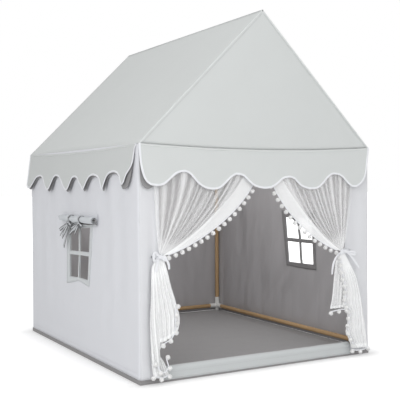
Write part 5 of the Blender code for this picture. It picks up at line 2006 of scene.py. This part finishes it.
    def trims(self) -> None:
        """Builds the pom-pom trims of the swag's edge and of the tail's hem."""
        edge = self.swag_surface(np.ones(120), np.linspace(0.16, 0.965, 120))
        away = self.hang_way(edge, self.side.sign)
        path = Path(edge + away * 0.001 + np.array([0, -0.0008, 0]), away)
        self.trim("swag", "tent", [path], self.pom_hang)
        paths = []
        for way, spots in self.at.rows:
            x, z = np.array(spots).T
            line = even_steps(stack(x * self.side.sign, 0 * x, z), 0.004)
            away = self.hang_way(line, way * self.side.sign)
            line = line - away * self.tail_hang
            fall = np.clip((self.at.knot_z - line[:, 2]) / self.at.knot_z, 0, 1) ** 0.55
            line[:, 1] = -(self.knot_depth + 0.013 * fall + 0.0065)
            paths.append(Path(line, away))
        self.trim("tail", f"{self.side.value}_tail", paths, self.tail_hang)

    def hang_way(self, line: Array, side: int) -> Array:
        """Returns the way that pom-poms hang off each point of an edge."""
        along = unit(np.gradient(line, axis=0))
        return unit(stack(along[:, 2], 0 * along[:, 0], -along[:, 0]) * side)

    def trim(self, label: str, body: str, paths: Sequence[Path], drop: float) -> None:
        """Builds one trim: its tape and its pom-poms.

        Args:
            label: The part of the curtain that it hangs on.
            body: The body that it rides on.
            paths: The lines that its tape follows, facing the way that the pom-poms hang.
            drop: How far the pom-poms' middles hang off the tape.
        """
        name = f"{label}_pompoms_{self.side.value}"
        kit = self.sewing
        poms = kit.poms.run(
            name,
            paths,
            kit.finishes["pom_yarn"],
            Pitch=self.pom_pitch,
            Radius=self.pom_radius,
            Hang=drop,
            Tufts=self.tufts,
        )
        hang(poms, body, "pom_white", f"{label}_trim_{self.side.value}")
        flat = [Path.facing(path.points, (0, -1, 0)) for path in paths]
        self.tape(f"{name}_tape", flat, "white_tape", (0.0045, 0.0014), (body, "pom_white"))


# Mat and frame


@dataclass
class Mat(Part):
    """The padded floor mat: a cloth cover blown up by its padding."""

    thickness: float = 0.0155
    crown: float = 0.006
    margin: float = 0.060
    steps: int = 14
    cap: float = 0.006

    def build(self) -> None:
        """Builds the mat and its edge cord."""
        mat = self.shell()
        self.swell(mat)
        hang(mat, "tent", "mat_grey", "floor_mat")
        x, y = self.sizes.half_width - 0.002, self.sizes.half_depth - 0.002
        loop = [(-x, -y), (x, -y), (x, y), (-x, y), (-x, -y)]
        corners = [(a, b, self.thickness - 0.002) for a, b in loop]
        cord = [Path.along(corners, (0, 0, 1), 0.01)]
        self.tape("mat_piping", cord, "mat_edge_cotton", (0.0036, 0.0034), ("tent", "mat_grey"))

    def inside(self, x: Array, y: Array) -> tuple[Array, Array]:
        """Returns how far points are inside the mat's stiff margin, across and along."""
        return (
            self.sizes.half_width - self.margin - np.abs(x),
            self.sizes.half_depth - self.margin - np.abs(y),
        )

    def shell(self) -> Piece:
        """Returns the mat's closed cover before it swells."""
        sizes = self.sizes
        x = np.linspace(-sizes.half_width, sizes.half_width, 99)[None, :]
        y = np.linspace(-sizes.half_depth, sizes.half_depth, 115)[:, None]
        inside_x, inside_y = self.inside(x, y)
        inside_x = np.clip(inside_x / sizes.half_width, 0, 1)
        inside_y = np.clip(inside_y / sizes.half_depth, 0, 1)
        crown = self.crown * np.sqrt(inside_x * inside_y)
        base = stack(x, y, 0 * x)
        soft = 0.0016 * wander(base, 0.16, 101) + 0.0009 * wander(base, 0.05, 102)
        top = self.thickness + crown + soft * ease(crown / 0.002)
        above = numbered(base)
        below = above + above.size
        points = np.concatenate([stack(x, y, top).reshape(-1, 3), base.reshape(-1, 3)])
        quads = [grid_quads(above), grid_quads(below)[:, ::-1]]
        sides = len(quads[0]) + len(quads[1])
        for upper, lower in (
            (above[0], below[0]),
            (above[:, -1], below[:, -1]),
            (above[-1, ::-1], below[-1, ::-1]),
            (above[::-1, 0], below[::-1, 0]),
        ):
            quads.append(np.stack([lower[:-1], lower[1:], upper[1:], upper[:-1]], axis=-1))
        mesh = new_mesh("mat_cover", points, np.concatenate(quads))
        lay_flat(mesh, points[:, :2])
        mesh.shade_smooth()
        mesh.set_sharp_from_angle(angle=math.radians(60))
        for number in range(sides, len(mesh.polygons)):
            mesh.polygons[number].material_index = 1
        finishes = self.sewing.finishes
        return add_object("mat_cover", mesh, [finishes["mat_cotton"], finishes["mat_edge_cotton"]])

    def swell(self, mat: Piece) -> None:
        """Blows the cover up a little by cloth simulation, so that it creases as padding does."""
        count = len(mat.data.vertices)
        rest = np.empty(count * 3)
        mat.data.vertices.foreach_get("co", rest)
        rest = rest.reshape(-1, 3)
        inner = np.minimum(*self.inside(rest[:, 0], rest[:, 1]))
        loose = np.clip(inner / 0.03, 0, 1) * (rest[:, 2] > self.thickness / 2)
        held = mat.vertex_groups.new(name="held")
        held.add([int(i) for i in np.nonzero(loose <= 0)[0]], 1.0, "REPLACE")
        cloth = mat.modifiers.new("padding", "CLOTH")
        for name, value in {
            "quality": 4,
            "mass": 0.3,
            "tension_stiffness": 12,
            "compression_stiffness": 12,
            "bending_stiffness": 0.4,
            "shrink_min": -0.012,
            "use_pressure": True,
            "uniform_pressure_force": 3.0,
            "vertex_group_mass": "held",
        }.items():
            setattr(cloth.settings, name, value)
        cloth.settings.effector_weights.gravity = 0.0
        cloth.collision_settings.use_self_collision = False
        for frame_number in range(1, self.steps + 1):
            bpy.context.scene.frame_set(frame_number)
        evaluated = mat.evaluated_get(bpy.context.evaluated_depsgraph_get())
        moved = np.empty(count * 3)
        evaluated.data.vertices.foreach_get("co", moved)
        shift = (moved.reshape(-1, 3) - rest) * loose[:, None]
        length = np.linalg.norm(shift, axis=1, keepdims=True)
        shift *= np.minimum(1, self.cap / np.maximum(length, 1e-9))
        mat.modifiers.clear()
        bpy.context.scene.frame_set(1)
        mat.data.vertices.foreach_set("co", (rest + shift).reshape(-1))
        mat.data.update()
        LOG.info("mat swelled by %.1f mm at most", 1000 * float(np.abs(shift[:, 2]).max()))


@dataclass
class PoleFrame:
    """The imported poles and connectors, which keep their shape and get their finishes."""

    nodes: dict[str, Piece]
    finishes: dict[str, Material]

    def grain(self, name: str) -> Grain:
        """Returns the way that a pole runs."""
        if name.startswith("post"):
            return Grain.UPRIGHT
        if name.startswith("rafter"):
            return Grain.RISING if name.endswith("left") else Grain.FALLING
        if name.endswith(("left", "right")) or name == "ridge_pole":
            return Grain.ALONG_Y
        return Grain.ALONG_X

    def build(self) -> None:
        """Dresses every pole and connector."""
        poles = ("post", "base_rail", "eave_rail", "rafter", "ridge_pole")
        moulded = ("base_corner", "eave_corner", "ridge_joint")
        for name, node in self.nodes.items():
            if name.startswith(poles):
                finish = self.finishes[f"pine_{self.grain(name).name.lower()}"]
            elif name.startswith(moulded):
                finish = self.finishes["connector_plastic"]
            else:
                continue
            for slot in node.material_slots:
                slot.material = finish
            LOG.info("%s keeps its solid", name)


# Room, light and camera


@dataclass
class Studio:
    """A plain pale floor, soft light and the camera."""

    lens: float = 71.077
    spot: Point = (-1.70338, -3.11748, 0.71076)
    yaw: float = 0.51663
    pitch: float = -0.02123
    roll: float = -0.00612
    world: float = 0.60
    near_glow: float = 0.50
    far_glow: float = 1.1
    # shade, front_shade and shade_reach set a painted contact shadow: the floor's glow is dimmed
    # beside the mat.
    shade: float = 0.50
    front_shade: float = 0.28
    shade_reach: float = 0.11
    half_mat: tuple[float, float] = (0.525, 0.610)

    def build(self) -> None:
        """Builds the room, the lamps and the camera."""
        self.room()
        self.sky()
        self.lamp("front_lamp", (-0.3, -4.4, 1.7), (0, 0, 0.6), 3.2, 41)
        self.lamp("left_lamp", (-3.4, -2.9, 1.6), (-0.3, -0.2, 0.5), 2.8, 49)
        self.lamp("top_lamp", (0.2, -0.4, 4.4), (0, 0, 0.6), 3.4, 37)
        self.lamp("inner_lamp", (0, 0, 0.83), (0, 0, 0), 0.85, 4.2)
        self.camera()

    def room(self) -> None:
        """Builds the floor, which shows white and keeps the tent's shadow; its glow is also dimmed
        beside the mat, most in front, which paints a contact shadow there.
        """
        reach, low = 40.0, -0.0005
        ring = np.array([(-1, -1), (1, -1), (1, 1), (-1, 1)]) * reach
        mesh = new_mesh("floor", stack(ring[:, 0], ring[:, 1], low), np.array([(0, 1, 2, 3)]))
        desk = Desk("pale_floor")
        place = desk.place(Lookup.OBJECT)
        away = desk.node("VectorMath", {"operation": "LENGTH"})
        feed(away.inputs[0], place)
        level = desk.node(
            "MapRange",
            {"interpolation_type": "SMOOTHSTEP"},
            Value=away.outputs["Value"],
            From_Min=1.2,
            From_Max=3.5,
            To_Min=self.near_glow,
            To_Max=self.far_glow,
        )
        x, y, _ = desk.node("SeparateXYZ", Vector=place).outputs
        # Painted contact shadow: beyond is how far a point lies outside the mat; the glow there
        # starts at shade, or front_shade in front, and rises to full over shade_reach.
        beyond = (
            desk.maths("MAXIMUM", desk.maths("SUBTRACT", desk.maths("ABSOLUTE", spot), half), 0.0)
            for spot, half in zip((x, y), self.half_mat)
        )
        front = desk.node(
            "MapRange",
            Value=y,
            From_Min=-0.62,
            From_Max=-0.58,
            To_Min=self.front_shade,
            To_Max=self.shade,
        )
        beside = desk.node(
            "MapRange", Value=desk.maths("ADD", *beyond), From_Max=self.shade_reach, To_Min=front
        )
        glow = desk.maths("MULTIPLY", add_seen(desk.tree), level.outputs["Result"])
        white = (1, 1, 1, 1)
        finish = desk.surface(
            Base_Color=(0.80, 0.80, 0.80, 1),
            Roughness=0.9,
            Specular_IOR_Level=0.0,
            Emission_Color=white,
            Emission_Strength=desk.maths("MULTIPLY", glow, beside.outputs["Result"]),
        )
        add_object("floor", mesh, [finish])

    def sky(self) -> None:
        """Sets the world: white where it is seen, softer where it lights the tent."""
        world = bpy.data.worlds.new("studio")
        bpy.context.scene.world = world
        world.use_nodes = True
        tree = world.node_tree
        seen = add_seen(tree)
        level = add_node(tree, "ShaderNodeMapRange", Value=seen, To_Min=self.world, To_Max=1.0)
        feed_all(tree.nodes["Background"].inputs, {"Color": (1, 1, 1, 1), "Strength": level})

    def lamp(self, name: str, spot: Point, target: Point, size: float, power: float) -> None:
        """Adds one large soft square lamp.

        Args:
            name: The lamp's name.
            spot: Where it stands.
            target: What it looks at.
            size: The length of its side.
            power: Its power in watts.
        """
        light = bpy.data.lights.new(name, "AREA")
        light.shape = "SQUARE"
        light.size = size
        light.energy = power
        made = bpy.data.objects.new(name, light)
        bpy.context.scene.collection.objects.link(made)
        way = Vector(target) - Vector(spot) + Vector((0, 1e-4, 0))
        turn = way.to_track_quat("-Z", "Y").to_matrix().to_4x4()
        made.matrix_world = Matrix.Translation(Vector(spot)) @ turn
        made.visible_camera = False
        made.visible_glossy = False

    def camera(self) -> None:
        """Adds the camera and makes it the scene's own."""
        data = bpy.data.cameras.new("camera")
        data.lens = self.lens
        data.sensor_width = 36
        data.sensor_fit = "HORIZONTAL"
        made = bpy.data.objects.new("camera", data)
        bpy.context.scene.collection.objects.link(made)
        sine, cosine, level = math.sin(self.yaw), math.cos(self.yaw), math.cos(self.pitch)
        ahead = Vector((sine * level, cosine * level, math.sin(self.pitch)))
        across = Vector((cosine, -sine, 0))
        upright = across.cross(ahead)
        right = across * math.cos(self.roll) + upright * math.sin(self.roll)
        up = upright * math.cos(self.roll) - across * math.sin(self.roll)
        turn = Matrix((right, up, -ahead)).transposed().to_4x4()
        made.matrix_world = Matrix.Translation(Vector(self.spot)) @ turn
        bpy.context.scene.camera = made


def main() -> None:
    """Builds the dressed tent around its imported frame."""
    logging.basicConfig(level=logging.INFO, format="%(name)s: %(message)s")
    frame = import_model()
    bpy.context.scene.view_settings.view_transform = "Standard"
    finishes = make_finishes()
    sewing = Sewing(TentSizes(), finishes)
    Studio().build()
    PoleFrame(frame["nodes"], finishes).build()
    for part in (Mat(sewing), Roof(sewing), Walls(sewing), *make_valances(sewing)):
        part.build()
    for side in Side:
        Window(sewing, side).build()
        Curtain(sewing, side).build()


if __name__ == "__main__":
    main()
